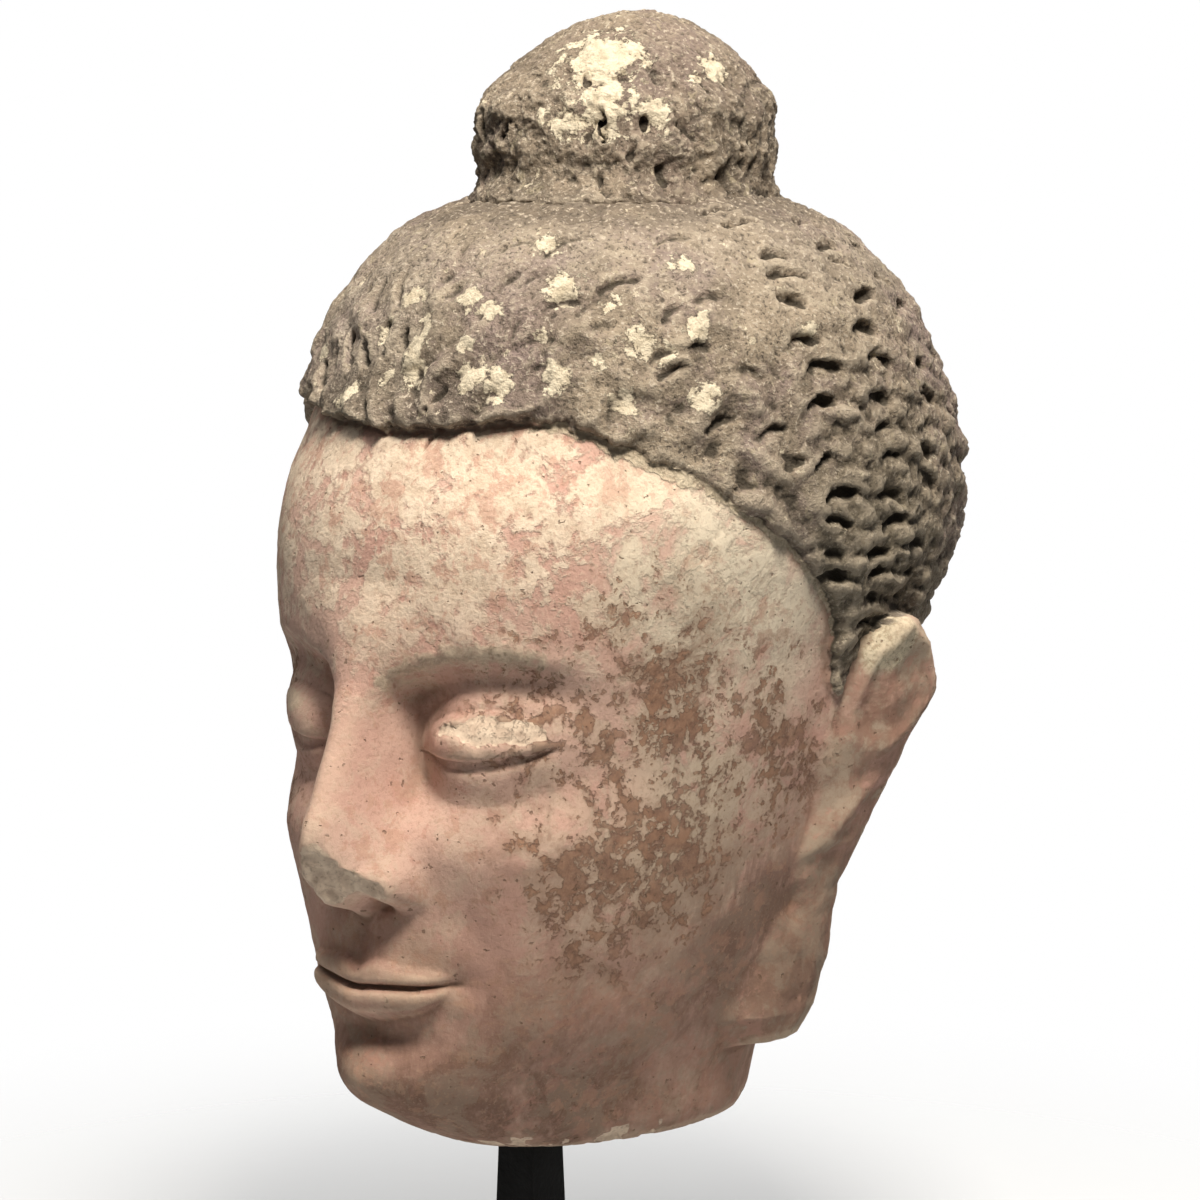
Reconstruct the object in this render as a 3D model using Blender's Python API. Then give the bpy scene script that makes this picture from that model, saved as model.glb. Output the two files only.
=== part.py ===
"""A carved head with wavy hair and a topknot, broken off under the chin and held on a steel post with a foot.

Metres, +Z up, the face towards -Y, the figure's left towards +X. The origin is the middle of the foot's
underside. The head is worked in parts, 300 of them from the break under the chin to the top of the topknot.
"""

import bmesh
import bpy
import numpy as np
from mathutils import Vector, noise

# The head, from the break under the chin to the top of the topknot.
HEAD_HEIGHT = 0.300
PART = HEAD_HEIGHT / 300

# The steel mount: a square post with a round pin on top and a square tenon below, and a flat foot.
POST_VISIBLE = 0.095
POST_TOP_WIDTH = 0.012
POST_FOOT_WIDTH = 0.0175
PIN_RADIUS = 0.0045
PIN_LENGTH = 0.070
PIN_CHAMFER = 0.001
TENON_WIDTH = 0.012
TENON_LENGTH = 0.009
FOOT_WIDTH = 0.190
FOOT_THICKNESS = 0.014
FOOT_BEVEL = 0.0015

# Room between the pieces.
PIN_CLEARANCE = 0.0006
TENON_CLEARANCE = 0.0003
SEAT_GAP = 0.0003

# The post stands this far in front of the foot's middle, and the head's own axis this far behind the post.
POST_FORWARD = 0.024
HEAD_BEHIND_POST = 0.030

# The flat seat on the break reaches this far past the post's corners.
# Round it the break is this rough, in parts.
SEAT_MARGIN = 0.0015
BREAK_DEPTH = 2.4

# Grid of the head's surface, and the points round the post and the foot.
COLUMNS = 78
ROWS = 55
BREAK_ROWS = 3
MOUNT_POINTS = 16

# Width of the steps round the hair and the ears, in parts.
STEP_WIDTH = 4.5

# Levels of the face in parts above the break, on the canon of three equal thirds.
CHIN = 8
THIRD = 62
NOSE_BASE = CHIN + THIRD
BROW = NOSE_BASE + THIRD
EYE_LEVEL = BROW - 19
EYE_SIDE = 31
MOUTH = NOSE_BASE - THIRD / 3

# The hair: its thickness, the depth and number of its locks, and the degrees between their waves.
HAIR_THICKNESS = 4.0
LOCK_DEPTH = 1.5
LOCK_WAVE = 13
FIRST_WAVE = 86
LOCKS_AROUND = 26
CROWN_POLE = 150
TOPKNOT_LOCKS = 13
TOPKNOT_HALF = 41
TOPKNOT_MIDDLE = 13

# Height of the hair's lower edge at turns from the face towards the figure's left, in degrees and parts.
HAIRLINE_TURNS = (
    -180, -150, -134, -126, -121, -116, -104, -100, -97, -94.5, -92, -88, -83, -76, -69,
    -64, -57, -50, -43, -35, -20, 0, 10, 20, 30, 37, 43, 50, 57, 64,
    69, 76, 83, 88, 92, 94.5, 97, 100, 104, 116, 121, 126, 134, 150, 180,
)
HAIRLINE_HEIGHTS = (
    63, 68, 82, 98, 116, 137, 137, 132, 119, 122, 139, 148, 156, 167, 177,
    184, 191, 195, 197, 197, 194, 192.5, 193, 195.5, 196, 193.5, 190, 186, 182, 175,
    170, 163, 154, 147, 139, 122, 119, 132, 137, 137, 116, 98, 82, 68, 63,
)

# Cross-sections in parts: height, front, back, widest point, half width, roundness of front and of back.
SECTIONS = np.array((
    (-1.5, -62, 40, -4, 41.5, 2.0, 2.0),
    (2, -69.5, 42, -5, 43.5, 1.95, 2.0),
    (8, -79.5, 43, -6, 45, 1.9, 2.0),
    (14, -86.5, 44, -6, 46.5, 1.9, 2.0),
    (22, -90.5, 46, -6, 49, 1.95, 2.0),
    (34, -91.5, 50, -6, 54, 2.05, 2.0),
    (48, -92, 55, -5, 59, 2.1, 2.0),
    (69, -93, 66, -3, 64.5, 2.15, 2.0),
    (92, -94, 80, 0, 69, 2.2, 2.0),
    (114, -94, 92, 3, 73.5, 2.2, 2.0),
    (134, -95, 101, 5, 77, 2.2, 2.0),
    (148, -95, 107, 7, 80.5, 2.15, 2.1),
    (160, -94, 109, 8, 83, 2.1, 2.2),
    (172, -91, 107.5, 9, 84, 2.05, 2.2),
    (190, -82.5, 102, 12, 82.5, 1.95, 2.2),
    (205, -75, 96, 11, 80, 2.0, 2.1),
    (220, -69, 90, 10.5, 75.5, 2.0, 2.0),
    (234, -58, 77.5, 10, 64.5, 2.0, 2.0),
    (241.5, -48, 66, 10, 55.5, 2.0, 2.0),
    (245.5, -38.5, 57, 10.5, 47, 2.0, 2.0),
    (245.5, -33, 53.5, 11, 42.5, 2.0, 2.0),
    (244, -29.5, 51.5, 11.5, 40, 2.0, 2.0),
    (246, -26.5, 50, 12, 38, 2.0, 2.0),
    (250, -25, 48.8, 12, 37, 2.0, 2.0),
    (257, -24.5, 48.5, 12, 36.5, 2.0, 2.0),
    (266, -24.5, 48.5, 12.5, 36, 2.0, 2.0),
    (277, -20, 47.5, 14, 33.5, 2.0, 2.0),
    (287, -11, 40.5, 15, 26, 2.0, 2.0),
    (294, 0, 30.5, 15.3, 15.5, 2.0, 2.0),
    (297, 14.5, 15.5, 15, 0.5, 2.0, 2.0),
))

# The ear, at heights in parts: its back edge, its front edge and how far it stands from the middle plane.
EAR_HEIGHTS = (22, 30, 45, 64, 72, 88, 96, 107, 118, 131, 137, 141)
EAR_BACKS = (14, 17.5, 20, 22, 26, 32.5, 35, 38, 41, 36.5, 32, 27)
EAR_FRONTS = (-4, -7, -4, -1, 1, 5, 6, 8, 11.5, 13.5, 17, 22)
EAR_REACHES = (58, 61.5, 64, 66, 68, 73.5, 76.5, 80.5, 84, 86, 86, 85)

# The nose at heights above its base: how far it stands out, and its half width.
NOSE_LEVELS = (-2, 1, 5, 9, 15, 30, 46, 58, 74)
NOSE_REACHES = (0, 5, 17, 21, 20.5, 14.5, 9, 5.5, 0)
NOSE_WIDTHS = (9, 9.5, 10.5, 10.5, 9.5, 8, 7, 8.5, 14)


def smooth(start, end, value):
    """0 before start, 1 after end, and a smooth step between them."""
    share = np.clip((value - start) / (end - start), 0, 1)
    return share * share * (3 - 2 * share)


def mound(x, z, middle_x, middle_z, reach_x, reach_z):
    """A round hill of height 1."""
    return np.exp(-(((x - middle_x) / reach_x) ** 2) - ((z - middle_z) / reach_z) ** 2)


def spaced(low, high, count, weight):
    """count values from low to high, closest together where weight is greatest."""
    fine = np.linspace(low, high, 2000)
    total = np.concatenate(([0], np.cumsum((weight(fine)[1:] + weight(fine)[:-1]) / 2)))
    return np.interp(np.linspace(0, total[-1], count), total, fine)


def column_angles(count):
    """Angles round the head from the face, in radians: closer together over the face and the ears."""

    def weight(angle):
        face = 1.5 * np.exp(-((angle / 0.85) ** 2))
        ears = 1.6 * np.exp(-(((np.abs(angle) - 1.74) / 0.3) ** 2))
        return 1 + face + ears

    return spaced(-np.pi, np.pi, count + 1, weight)[:-1]


def section_rows(count):
    """The sections at count places along the outline, by a smooth curve through them."""
    outline = np.stack((SECTIONS[:, 4], SECTIONS[:, 0]), axis=1)
    steps = np.linalg.norm(np.diff(outline, axis=0), axis=1)
    along = np.concatenate(([0], np.cumsum(steps)))

    def weight(place):
        height = np.interp(place, along, SECTIONS[:, 0])
        return 1 + 0.8 * mound(height, 0, 95, 0, 48, 1)

    places = spaced(0, along[-1], count, weight)
    slopes = np.gradient(SECTIONS, along, axis=0)
    slopes[-1, 0] = 0
    index = np.clip(np.searchsorted(along, places, side="right") - 1, 0, len(along) - 2)
    width = (along[index + 1] - along[index])[:, None]
    t = ((places - along[index]) / width[:, 0])[:, None]
    start, end = SECTIONS[index], SECTIONS[index + 1]
    pull_start, pull_end = slopes[index] * width, slopes[index + 1] * width
    return (
        (2 * t**3 - 3 * t**2 + 1) * start
        + (t**3 - 2 * t**2 + t) * pull_start
        + (3 * t**2 - 2 * t**3) * end
        + (t**3 - t**2) * pull_end
    )


def bare_head(angles, rows):
    """The egg of the head, before any carving, as arrays of x, y and z with a row for each section."""
    height, front, back, middle, half, round_front, round_back = (column[:, None] for column in rows.T)
    ahead = np.cos(angles)[None, :] > 0
    power = np.where(ahead, 2 / round_front, 2 / round_back)
    side = np.sin(angles)[None, :]
    fore = np.cos(angles)[None, :]
    x = half * np.sign(side) * np.abs(side) ** power
    reach = np.where(ahead, middle - front, back - middle)
    y = middle - reach * np.sign(fore) * np.abs(fore) ** power
    return x, y, height + 0 * x


def outward(x, y, rows):
    """Level direction that each point of the egg faces."""
    middle = rows[:, 3][:, None]
    half = rows[:, 4][:, None]
    deep = np.where(y < middle, middle - rows[:, 1][:, None], rows[:, 2][:, None] - middle)
    across, along = x / np.maximum(half, 1) ** 2, (y - middle) / np.maximum(deep, 1) ** 2
    length = np.maximum(np.hypot(across, along), 1e-9)
    return across / length, along / length


def brow_line(x):
    """Height of the brow's edge: it springs from the nose, arches and falls to the temple."""
    return BROW - 6 + 10 * np.sin(np.clip((np.abs(x) - 6) / 58, 0, 1) * np.pi) ** 0.8


def sockets(x, z):
    """The hollow between the brow's edge and the cheek, deepest beside the nose."""
    side = np.abs(x)
    below_brow = 1 - smooth(-7, 3, z - brow_line(x))
    above_cheek = smooth(EYE_LEVEL - 30, EYE_LEVEL - 7, z)
    across = smooth(3, 12, side) * (1 - smooth(38, 64, side))
    return -(7.0 + 4.5 * np.exp(-(((side - 14) / 8) ** 2))) * below_brow * above_cheek * across


def eyes(x, z):
    """Half-closed almond eyes that look down, under heavy upper lids."""
    out = np.abs(x) - EYE_SIDE
    up = z - EYE_LEVEL - 0.08 * out
    ball = 7.0 * np.clip(1 - (out / 20) ** 2 - (up / np.where(up > 0, 14, 16)) ** 2, 0, 1)
    curve = np.clip(1 - (out / 16.5) ** 2, 0, 1)
    lid_edge = -1.4 - 1.8 * curve
    lower_edge = -1.8 - 4.8 * curve
    across = 1 - smooth(13, 21, np.abs(out))
    upper = smooth(lid_edge - 1.2, lid_edge + 1.2, up) * (1 - smooth(2, 13, up))
    lower = (1 - smooth(lower_edge - 1.5, lower_edge + 0.8, up)) * smooth(-17, -9, up)
    return ball + across * (2.0 * upper + 0.8 * lower)


def nose(x, z):
    """The nose's reach in front of the face: a straight ridge, round wings and nostrils."""
    side = np.abs(x)
    low = 1 - smooth(NOSE_BASE + 6, NOSE_BASE + 20, z)
    bow = 2.5 * np.exp(-((x / 4) ** 2)) - 1.5 * np.exp(-(((side - 8) / 3.5) ** 2))
    up = z - NOSE_BASE + low * bow
    height = np.interp(up, NOSE_LEVELS, NOSE_REACHES)
    width = np.interp(up, NOSE_LEVELS, NOSE_WIDTHS)
    ridge = height * np.exp(-np.abs(x / width) ** 2.3)
    flank = 0.26 * height * np.exp(-((x / (2.1 * width)) ** 2)) * smooth(NOSE_BASE + 4, NOSE_BASE + 26, z)
    wings = 8.5 * mound(side, z, 12.5, NOSE_BASE + 6.5, 5.4, 6.6) * smooth(NOSE_BASE - 3, NOSE_BASE + 3, z)
    nostrils = -2.5 * mound(side, z, 7, NOSE_BASE + 0.5, 3, 2.2)
    return ridge + flank + wings + nostrils


def mouth(x, z):
    """Full lips, the upper one bowed, and the line between them with its ends tucked in."""
    side = np.abs(x)
    up = z - (MOUTH - 0.9 * np.exp(-((x / 6) ** 2)) + 0.9 * smooth(14, 26, side))
    bow = 1 - 0.18 * np.exp(-((x / 4) ** 2))
    upper = 3.9 * np.exp(-(((up - 3.2) / 3.6) ** 2)) * np.clip(1 - (side / 25) ** 2, 0, 1) ** 0.7 * bow
    lower = 4.9 * np.exp(-(((up + 4.2) / 4.4) ** 2)) * np.clip(1 - (side / 23) ** 2, 0, 1) ** 0.7
    parting = -2.4 * np.exp(-((up / 1.5) ** 2)) * (1 - smooth(22, 27, side))
    corners = -2.4 * mound(side, z, 26.5, MOUTH + 1, 4.5, 5) + 1.2 * mound(side, z, 34, MOUTH + 2, 6, 10)
    philtrum = -1.2 * mound(x, z, 0, NOSE_BASE - 8, 3.5, 5)
    muzzle = 4.5 * mound(x, z, 0, MOUTH + 3, 27, 18)
    return upper + lower + parting + corners + philtrum + muzzle


def chin_and_cheeks(x, z):
    """The ball of the chin, the fold over it, full cheeks, the jaw and the soft crease beside the mouth."""
    side = np.abs(x)
    ball = 8.5 * mound(x, z, 0, CHIN + 14, 17, 10.5)
    fold = -2.4 * mound(x, z, 0, MOUTH - 14, 14, 4.5)
    cheek = 4.5 * mound(side, z, 42, NOSE_BASE + 12, 20, 22)
    crease = -1.4 * mound(side - 0.35 * (NOSE_BASE - z), z, 27, NOSE_BASE - 7, 5, 13)
    jaw = -4.0 * mound(side, z, 38, CHIN + 6, 13, 15)
    return ball + fold + cheek + crease + jaw


def face_relief(x, z):
    return sockets(x, z) + eyes(x, z) + nose(x, z) + mouth(x, z) + chin_and_cheeks(x, z)


def ear_reach(y, z, edge):
    """How far the ear's face stands from the middle plane, and how much of a point lies in the ear."""
    back, front = np.interp(z, EAR_HEIGHTS, EAR_BACKS), np.interp(z, EAR_HEIGHTS, EAR_FRONTS)
    half = (back - front) / 2
    across = (y - (back + front) / 2) / half
    low, high = EAR_HEIGHTS[0], EAR_HEIGHTS[-1]
    ends = smooth(low - edge, low, z) * (1 - smooth(high - edge, high, z))
    inside = smooth(-1.6, -0.65, across) * (1 - smooth(0.97, 0.97 + edge / half, across)) * ends
    plane = np.interp(z, EAR_HEIGHTS, EAR_REACHES)
    lobe = 1 - smooth(66, 92, z)
    from_middle = np.hypot(across, (z - 120) / 20 * (1 - lobe))
    rim = 2.6 * np.exp(-(((from_middle - 0.84) / 0.2) ** 2)) * (1 - lobe)
    bowl = -6 * mound(y, z, 20, 110, 7.5, 11) - 2.5 * mound(y, z, 26, 124, 6, 7)
    fold = 2.2 * mound(y, z, 24, 104, 3.5, 15)
    flap = 2.5 * mound(y, z, 8.5, 101, 4, 7)
    hole = -5 * mound(y, z, 8, 43, 3, 6.5) * lobe
    bead = 1.5 * np.exp(-(((across - 0.45) / 0.3) ** 2)) * lobe
    slope = -7 * smooth(-0.1, -1.1, across) * (1 - 0.35 * lobe)
    return plane + rim + bowl + fold + flap + hole + bead + slope, inside


def hairline_height(angle):
    """Height of the hair's lower edge at an angle from the face, in parts."""
    return np.interp(np.degrees(angle), HAIRLINE_TURNS, HAIRLINE_HEIGHTS)


def lock_relief(x, y, z):
    """Wavy locks combed back from the face, with a deep nick between two locks on the back of each wave."""
    turn = np.arctan2(x, z - CROWN_POLE)
    wave = (np.degrees(np.arctan2(np.hypot(x, z - CROWN_POLE), -y)) - FIRST_WAVE) / LOCK_WAVE * 2 * np.pi
    lock = turn * LOCKS_AROUND + 0.7 * np.sin(wave + 0.8)
    between = (0.5 - 0.5 * np.cos(lock)) ** 2
    return 0.5 + 0.35 * np.cos(wave + np.pi) - 1.5 * between * np.exp(1.6 * (np.cos(wave) - 1))


def topknot_relief(x, y, z):
    """Upright wavy locks on the topknot."""
    turn = np.arctan2(x, TOPKNOT_MIDDLE - y)
    return np.cos(turn * TOPKNOT_LOCKS + 0.9 * np.sin(z / 15 * 2 * np.pi))


def clay_noise(x, y, z, size, seed):
    """Smooth hand-made unevenness, from about -1 to 1."""
    shift = Vector((seed * 17.3, seed * 5.1, seed * 9.7))
    flat = np.stack((x.ravel(), y.ravel(), z.ravel()), axis=1) / size
    return np.array([noise.noise(Vector(point) + shift) for point in flat]).reshape(x.shape)


def carved_head(angles, rows, edge):
    """The head's surface in parts, down to the break; edge is the width of the steps round hair and ears."""
    x, y, z = bare_head(angles, rows)
    out_x, out_y = outward(x, y, rows)
    hair = smooth(-0.6 * edge, 0.4 * edge, z - hairline_height(np.arctan2(x, -y)))

    knot = smooth(225, 235, z) * (1 - smooth(TOPKNOT_HALF - 2, TOPKNOT_HALF + 2, rows[:, 4][:, None]))
    locks = (1 - knot) * lock_relief(x, y, z) + knot * topknot_relief(x, y, z) * smooth(298, 286, z)
    lift = hair * (HAIR_THICKNESS + LOCK_DEPTH * locks)
    slope = smooth(205, 240, z) * (1 - knot)
    upright = np.maximum(slope, smooth(284, 297, z))

    forward = face_relief(x, z) * smooth(-10, -45, y) * (1 - hair)
    x = x + lift * out_x * (1 - 0.9 * upright) + 0.35 * forward * out_x
    y = y + lift * out_y * (1 - 0.9 * upright) - forward * (1 - 0.35 * np.abs(out_x))
    z = z + lift * 0.8 * upright

    reach, inside = ear_reach(y, z, edge)
    beside = np.abs(x)
    x = np.sign(x) * (beside + inside * np.maximum(reach - beside, 0) * (beside > 25))
    return x, y, z


def ring_at(middle_y, radius, height, turns):
    return np.stack((radius * np.sin(turns), middle_y - radius * np.cos(turns), 0 * turns + height), axis=1)


def head_mesh(columns, row_count, break_rows, edge):
    """The whole closed surface of the head in metres, about its own axis, with the pin's socket below."""
    angles = column_angles(columns)
    x, y, z = carved_head(angles, section_rows(row_count)[:-1], edge)
    rings = [np.stack(ring, axis=1) for ring in zip(x, y, z)]
    middle = -HEAD_BEHIND_POST / PART
    socket = (PIN_RADIUS + PIN_CLEARANCE) / PART
    end = (PIN_LENGTH + SEAT_GAP) / PART
    seat = ring_at(middle, (POST_TOP_WIDTH / 2**0.5 + SEAT_MARGIN) / PART, 0, angles)
    below = []
    for step in range(1, break_rows + 1):
        share = step / (break_rows + 1)
        ring = rings[0] * (1 - share) + seat * share
        rough = 0.5 + 0.5 * clay_noise(ring[:, 0], ring[:, 1], ring[:, 2], 14, 3)
        ring[:, 2] += BREAK_DEPTH * rough * min(1, 3 * (1 - share))
        below.insert(0, ring)
    inner = [ring_at(middle, socket, end, angles), ring_at(middle, socket, 0, angles), seat]
    top = (0, SECTIONS[-1, 3], SECTIONS[-1, 0] + HAIR_THICKNESS * 0.75)
    return closed_mesh("head", inner + below + rings, (0, middle, end), top, PART)


def closed_mesh(name, rings, first, last, scale):
    """A mesh between the rings, closed by a fan to a point before the first and after the last."""
    count = len(rings[0])
    points = np.concatenate([np.array([first])] + rings + [np.array([last])]) * scale
    faces = []
    top = 1 + (len(rings) - 1) * count
    for column in range(count):
        after = (column + 1) % count
        faces.append((0, 1 + column, 1 + after))
        for ring in range(len(rings) - 1):
            low, high = 1 + ring * count, 1 + (ring + 1) * count
            faces.append((low + column, high + column, high + after, low + after))
        faces.append((top + column, len(points) - 1, top + after))
    mesh = bpy.data.meshes.new(name)
    mesh.from_pydata([tuple(point) for point in points], [], faces)
    work = bmesh.new()
    work.from_mesh(mesh)
    bmesh.ops.triangulate(work, faces=work.faces, quad_method="SHORT_EDGE")
    bmesh.ops.recalc_face_normals(work, faces=work.faces)
    work.to_mesh(mesh)
    work.free()
    return mesh


def mount_turns():
    return np.arange(MOUNT_POINTS) * 2 * np.pi / MOUNT_POINTS


def square_at(middle_y, width, height):
    """A square ring whose points lie on the same turns as a round one's."""
    turns = mount_turns()
    reach = width / 2 / np.maximum(np.abs(np.sin(turns)), np.abs(np.cos(turns)))
    return ring_at(middle_y, reach, height, turns)


def post_mesh():
    """The post from its tenon to the end of its pin, with its shoulder at height 0."""
    turns = mount_turns()
    pin_end = POST_VISIBLE + PIN_LENGTH
    rings = [
        square_at(0, TENON_WIDTH, -TENON_LENGTH),
        square_at(0, TENON_WIDTH, 0),
        square_at(0, POST_FOOT_WIDTH, 0),
        square_at(0, POST_TOP_WIDTH, POST_VISIBLE),
        ring_at(0, PIN_RADIUS, POST_VISIBLE, turns),
        ring_at(0, PIN_RADIUS, pin_end - PIN_CHAMFER, turns),
        ring_at(0, PIN_RADIUS - PIN_CHAMFER, pin_end, turns),
    ]
    return closed_mesh("mount_post", rings, (0, 0, -TENON_LENGTH), (0, 0, pin_end), 1)


def foot_mesh():
    """The bevelled square plate, its underside at height 0, with a blind square hole for the tenon."""
    hole = TENON_WIDTH + 2 * TENON_CLEARANCE
    floor = FOOT_THICKNESS - TENON_LENGTH - SEAT_GAP
    rings = [
        square_at(-POST_FORWARD, hole, floor),
        square_at(-POST_FORWARD, hole, FOOT_THICKNESS),
        square_at(0, FOOT_WIDTH - 2 * FOOT_BEVEL, FOOT_THICKNESS),
        square_at(0, FOOT_WIDTH, FOOT_THICKNESS - FOOT_BEVEL),
        square_at(0, FOOT_WIDTH, FOOT_BEVEL),
        square_at(0, FOOT_WIDTH - 2 * FOOT_BEVEL, 0),
    ]
    return closed_mesh("mount_foot", rings, (0, -POST_FORWARD, floor), (0, 0, 0), 1)


def material(name, colour, roughness, metallic):
    made = bpy.data.materials.new(name)
    made.use_nodes = True
    shader = made.node_tree.nodes["Principled BSDF"]
    shader.inputs["Base Color"].default_value = (*colour, 1)
    shader.inputs["Roughness"].default_value = roughness
    shader.inputs["Metallic"].default_value = metallic
    return made


def add_object(name, mesh, finish, place):
    made = bpy.data.objects.new(name, mesh)
    made.location = place
    mesh.materials.append(finish)
    bpy.context.scene.collection.objects.link(made)
    return made


def main():
    for old in list(bpy.data.objects):
        bpy.data.objects.remove(old)
    clay = material("painted_clay", (0.62, 0.42, 0.33), 0.85, 0)
    black = material("black_steel", (0.02, 0.02, 0.02), 0.5, 0)
    shoulder = FOOT_THICKNESS + SEAT_GAP
    seat = shoulder + POST_VISIBLE + SEAT_GAP
    head = head_mesh(COLUMNS, ROWS, BREAK_ROWS, STEP_WIDTH)
    add_object("head", head, clay, (0, HEAD_BEHIND_POST - POST_FORWARD, seat))
    add_object("mount_post", post_mesh(), black, (0, -POST_FORWARD, shoulder))
    add_object("mount_foot", foot_mesh(), black, (0, 0, 0))


main()
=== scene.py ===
"""The fine surface and the finishes of a painted clay head with combed hair, on a black steel mount.

The head is worked in parts, as its solid is: 300 of them from the break under the chin to the topknot's top.
"""

import math

import bmesh
import bpy
import numpy as np
from mathutils import Matrix, Vector, noise
from mathutils.bvhtree import BVHTree


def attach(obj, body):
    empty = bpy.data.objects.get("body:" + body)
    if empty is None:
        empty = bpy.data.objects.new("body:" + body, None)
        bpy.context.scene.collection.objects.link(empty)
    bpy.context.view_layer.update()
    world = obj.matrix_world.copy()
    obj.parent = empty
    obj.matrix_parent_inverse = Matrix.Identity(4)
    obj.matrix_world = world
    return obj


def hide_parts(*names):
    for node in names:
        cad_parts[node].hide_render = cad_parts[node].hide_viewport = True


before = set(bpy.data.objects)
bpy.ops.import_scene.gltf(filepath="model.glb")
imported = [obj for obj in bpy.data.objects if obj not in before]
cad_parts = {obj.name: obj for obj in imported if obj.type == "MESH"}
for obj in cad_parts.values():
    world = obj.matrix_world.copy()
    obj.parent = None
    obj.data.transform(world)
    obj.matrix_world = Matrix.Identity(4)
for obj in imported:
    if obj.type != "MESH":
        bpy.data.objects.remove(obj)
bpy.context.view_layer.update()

# The head's size, and the mount that carries it, as in the solids.
HEAD_HEIGHT = 0.300
PART = HEAD_HEIGHT / 300
POST_VISIBLE = 0.095
POST_TOP_WIDTH = 0.012
PIN_RADIUS = 0.0045
PIN_LENGTH = 0.070
PIN_CLEARANCE = 0.0006
SEAT_GAP = 0.0003
SEAT_MARGIN = 0.0015
FOOT_THICKNESS = 0.014
POST_FORWARD = 0.024
HEAD_BEHIND_POST = 0.030
SEAT = Vector((0, HEAD_BEHIND_POST - POST_FORWARD, FOOT_THICKNESS + POST_VISIBLE + 2 * SEAT_GAP))
UP = Vector((0, 0, 1))

# The camera looks at the head's own axis from its left front.
CAMERA_AZIMUTH = 40
CAMERA_ELEVATION = 8
CAMERA_DISTANCE = 0.9
CAMERA_FRAME = 0.33408
SENSOR_WIDTH = 36
AIM_HEIGHT = 0.1387

# The round floor under the mount.
FLOOR_RADIUS = 0.6
FLOOR_SIDES = 96
FLOOR_DROP = 0.0005

# The grid that is carved, and the triangles that are kept of it.
COLUMNS = 620
ROWS = 520
BREAK_ROWS = 26
HEAD_TRIANGLES = 194000
STEP_WIDTH = 2.4
BREAK_DEPTH = 2.4
SEED = 7

# Levels of the face in parts above the break, on the canon of three equal thirds.
CHIN = 8
THIRD = 62
NOSE_BASE = CHIN + THIRD
BROW = NOSE_BASE + THIRD
EYE_LEVEL = BROW - 19
EYE_SIDE = 31
MOUTH = NOSE_BASE - THIRD / 3

# The hair. Its locks run back from the face and meet behind the head. A lock's place is its turn round the
# line from face to back, and a ring is an angle from the face, both in degrees about the crown's middle. Past
# the joining ring each two locks go on as one.
HAIR_THICKNESS = 4.0
CROWN_POLE = 150
LOCK_PITCH = 4.865
FIRST_LOCK = 1.35
RINGS = (60, 73, 86, 99, 112, 125, 138, 151, 164)
JOINING_RING = 121
KNOT_MIDDLE = 13
KNOT_HALF = 41

# Height of the hair's lower edge at turns from the face towards the figure's left, in degrees and parts.
HAIRLINE_TURNS = (
    -180, -150, -134, -126, -121, -116, -104, -100, -97, -94.5, -92, -88, -83, -76, -69,
    -64, -57, -50, -43, -35, -20, 0, 10, 20, 30, 37, 43, 50, 57, 64,
    69, 76, 83, 88, 92, 94.5, 97, 100, 104, 116, 121, 126, 134, 150, 180,
)
HAIRLINE_HEIGHTS = (
    63, 68, 82, 98, 116, 137, 137, 132, 119, 122, 139, 148, 156, 167, 177,
    184, 191, 195, 197, 197, 194, 192.5, 193, 195.5, 196, 193.5, 190, 186, 182, 175,
    170, 163, 154, 147, 139, 122, 119, 132, 137, 137, 116, 98, 82, 68, 63,
)

# Cross-sections in parts: height, front, back, widest point, half width, roundness of front and of back.
SECTIONS = np.array((
    (-1.5, -62, 40, -4, 41.5, 2.0, 2.0),
    (2, -69.5, 42, -5, 43.5, 1.95, 2.0),
    (8, -79.5, 43, -6, 45, 1.9, 2.0),
    (14, -86.5, 44, -6, 46.5, 1.9, 2.0),
    (22, -90.5, 46, -6, 49, 1.95, 2.0),
    (34, -91.5, 50, -6, 54, 2.05, 2.0),
    (48, -92, 55, -5, 59, 2.1, 2.0),
    (69, -93, 66, -3, 64.5, 2.15, 2.0),
    (92, -94, 80, 0, 69, 2.2, 2.0),
    (114, -94, 92, 3, 73.5, 2.2, 2.0),
    (134, -95, 101, 5, 77, 2.2, 2.0),
    (148, -95, 107, 7, 80.5, 2.15, 2.1),
    (160, -94, 109, 8, 83, 2.1, 2.2),
    (172, -91, 107.5, 9, 84, 2.05, 2.2),
    (190, -82.5, 102, 12, 82.5, 1.95, 2.2),
    (205, -75, 96, 11, 80, 2.0, 2.1),
    (220, -69, 90, 10.5, 75.5, 2.0, 2.0),
    (234, -58, 77.5, 10, 64.5, 2.0, 2.0),
    (241.5, -48, 66, 10, 55.5, 2.0, 2.0),
    (245.5, -38.5, 57, 10.5, 47, 2.0, 2.0),
    (245.5, -33, 53.5, 11, 42.5, 2.0, 2.0),
    (244, -29.5, 51.5, 11.5, 40, 2.0, 2.0),
    (246, -26.5, 50, 12, 38, 2.0, 2.0),
    (250, -25, 48.8, 12, 37, 2.0, 2.0),
    (257, -24.5, 48.5, 12, 36.5, 2.0, 2.0),
    (266, -24.5, 48.5, 12.5, 36, 2.0, 2.0),
    (277, -20, 47.5, 14, 33.5, 2.0, 2.0),
    (287, -11, 40.5, 15, 26, 2.0, 2.0),
    (294, 0, 30.5, 15.3, 15.5, 2.0, 2.0),
    (297, 14.5, 15.5, 15, 0.5, 2.0, 2.0),
))

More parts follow.
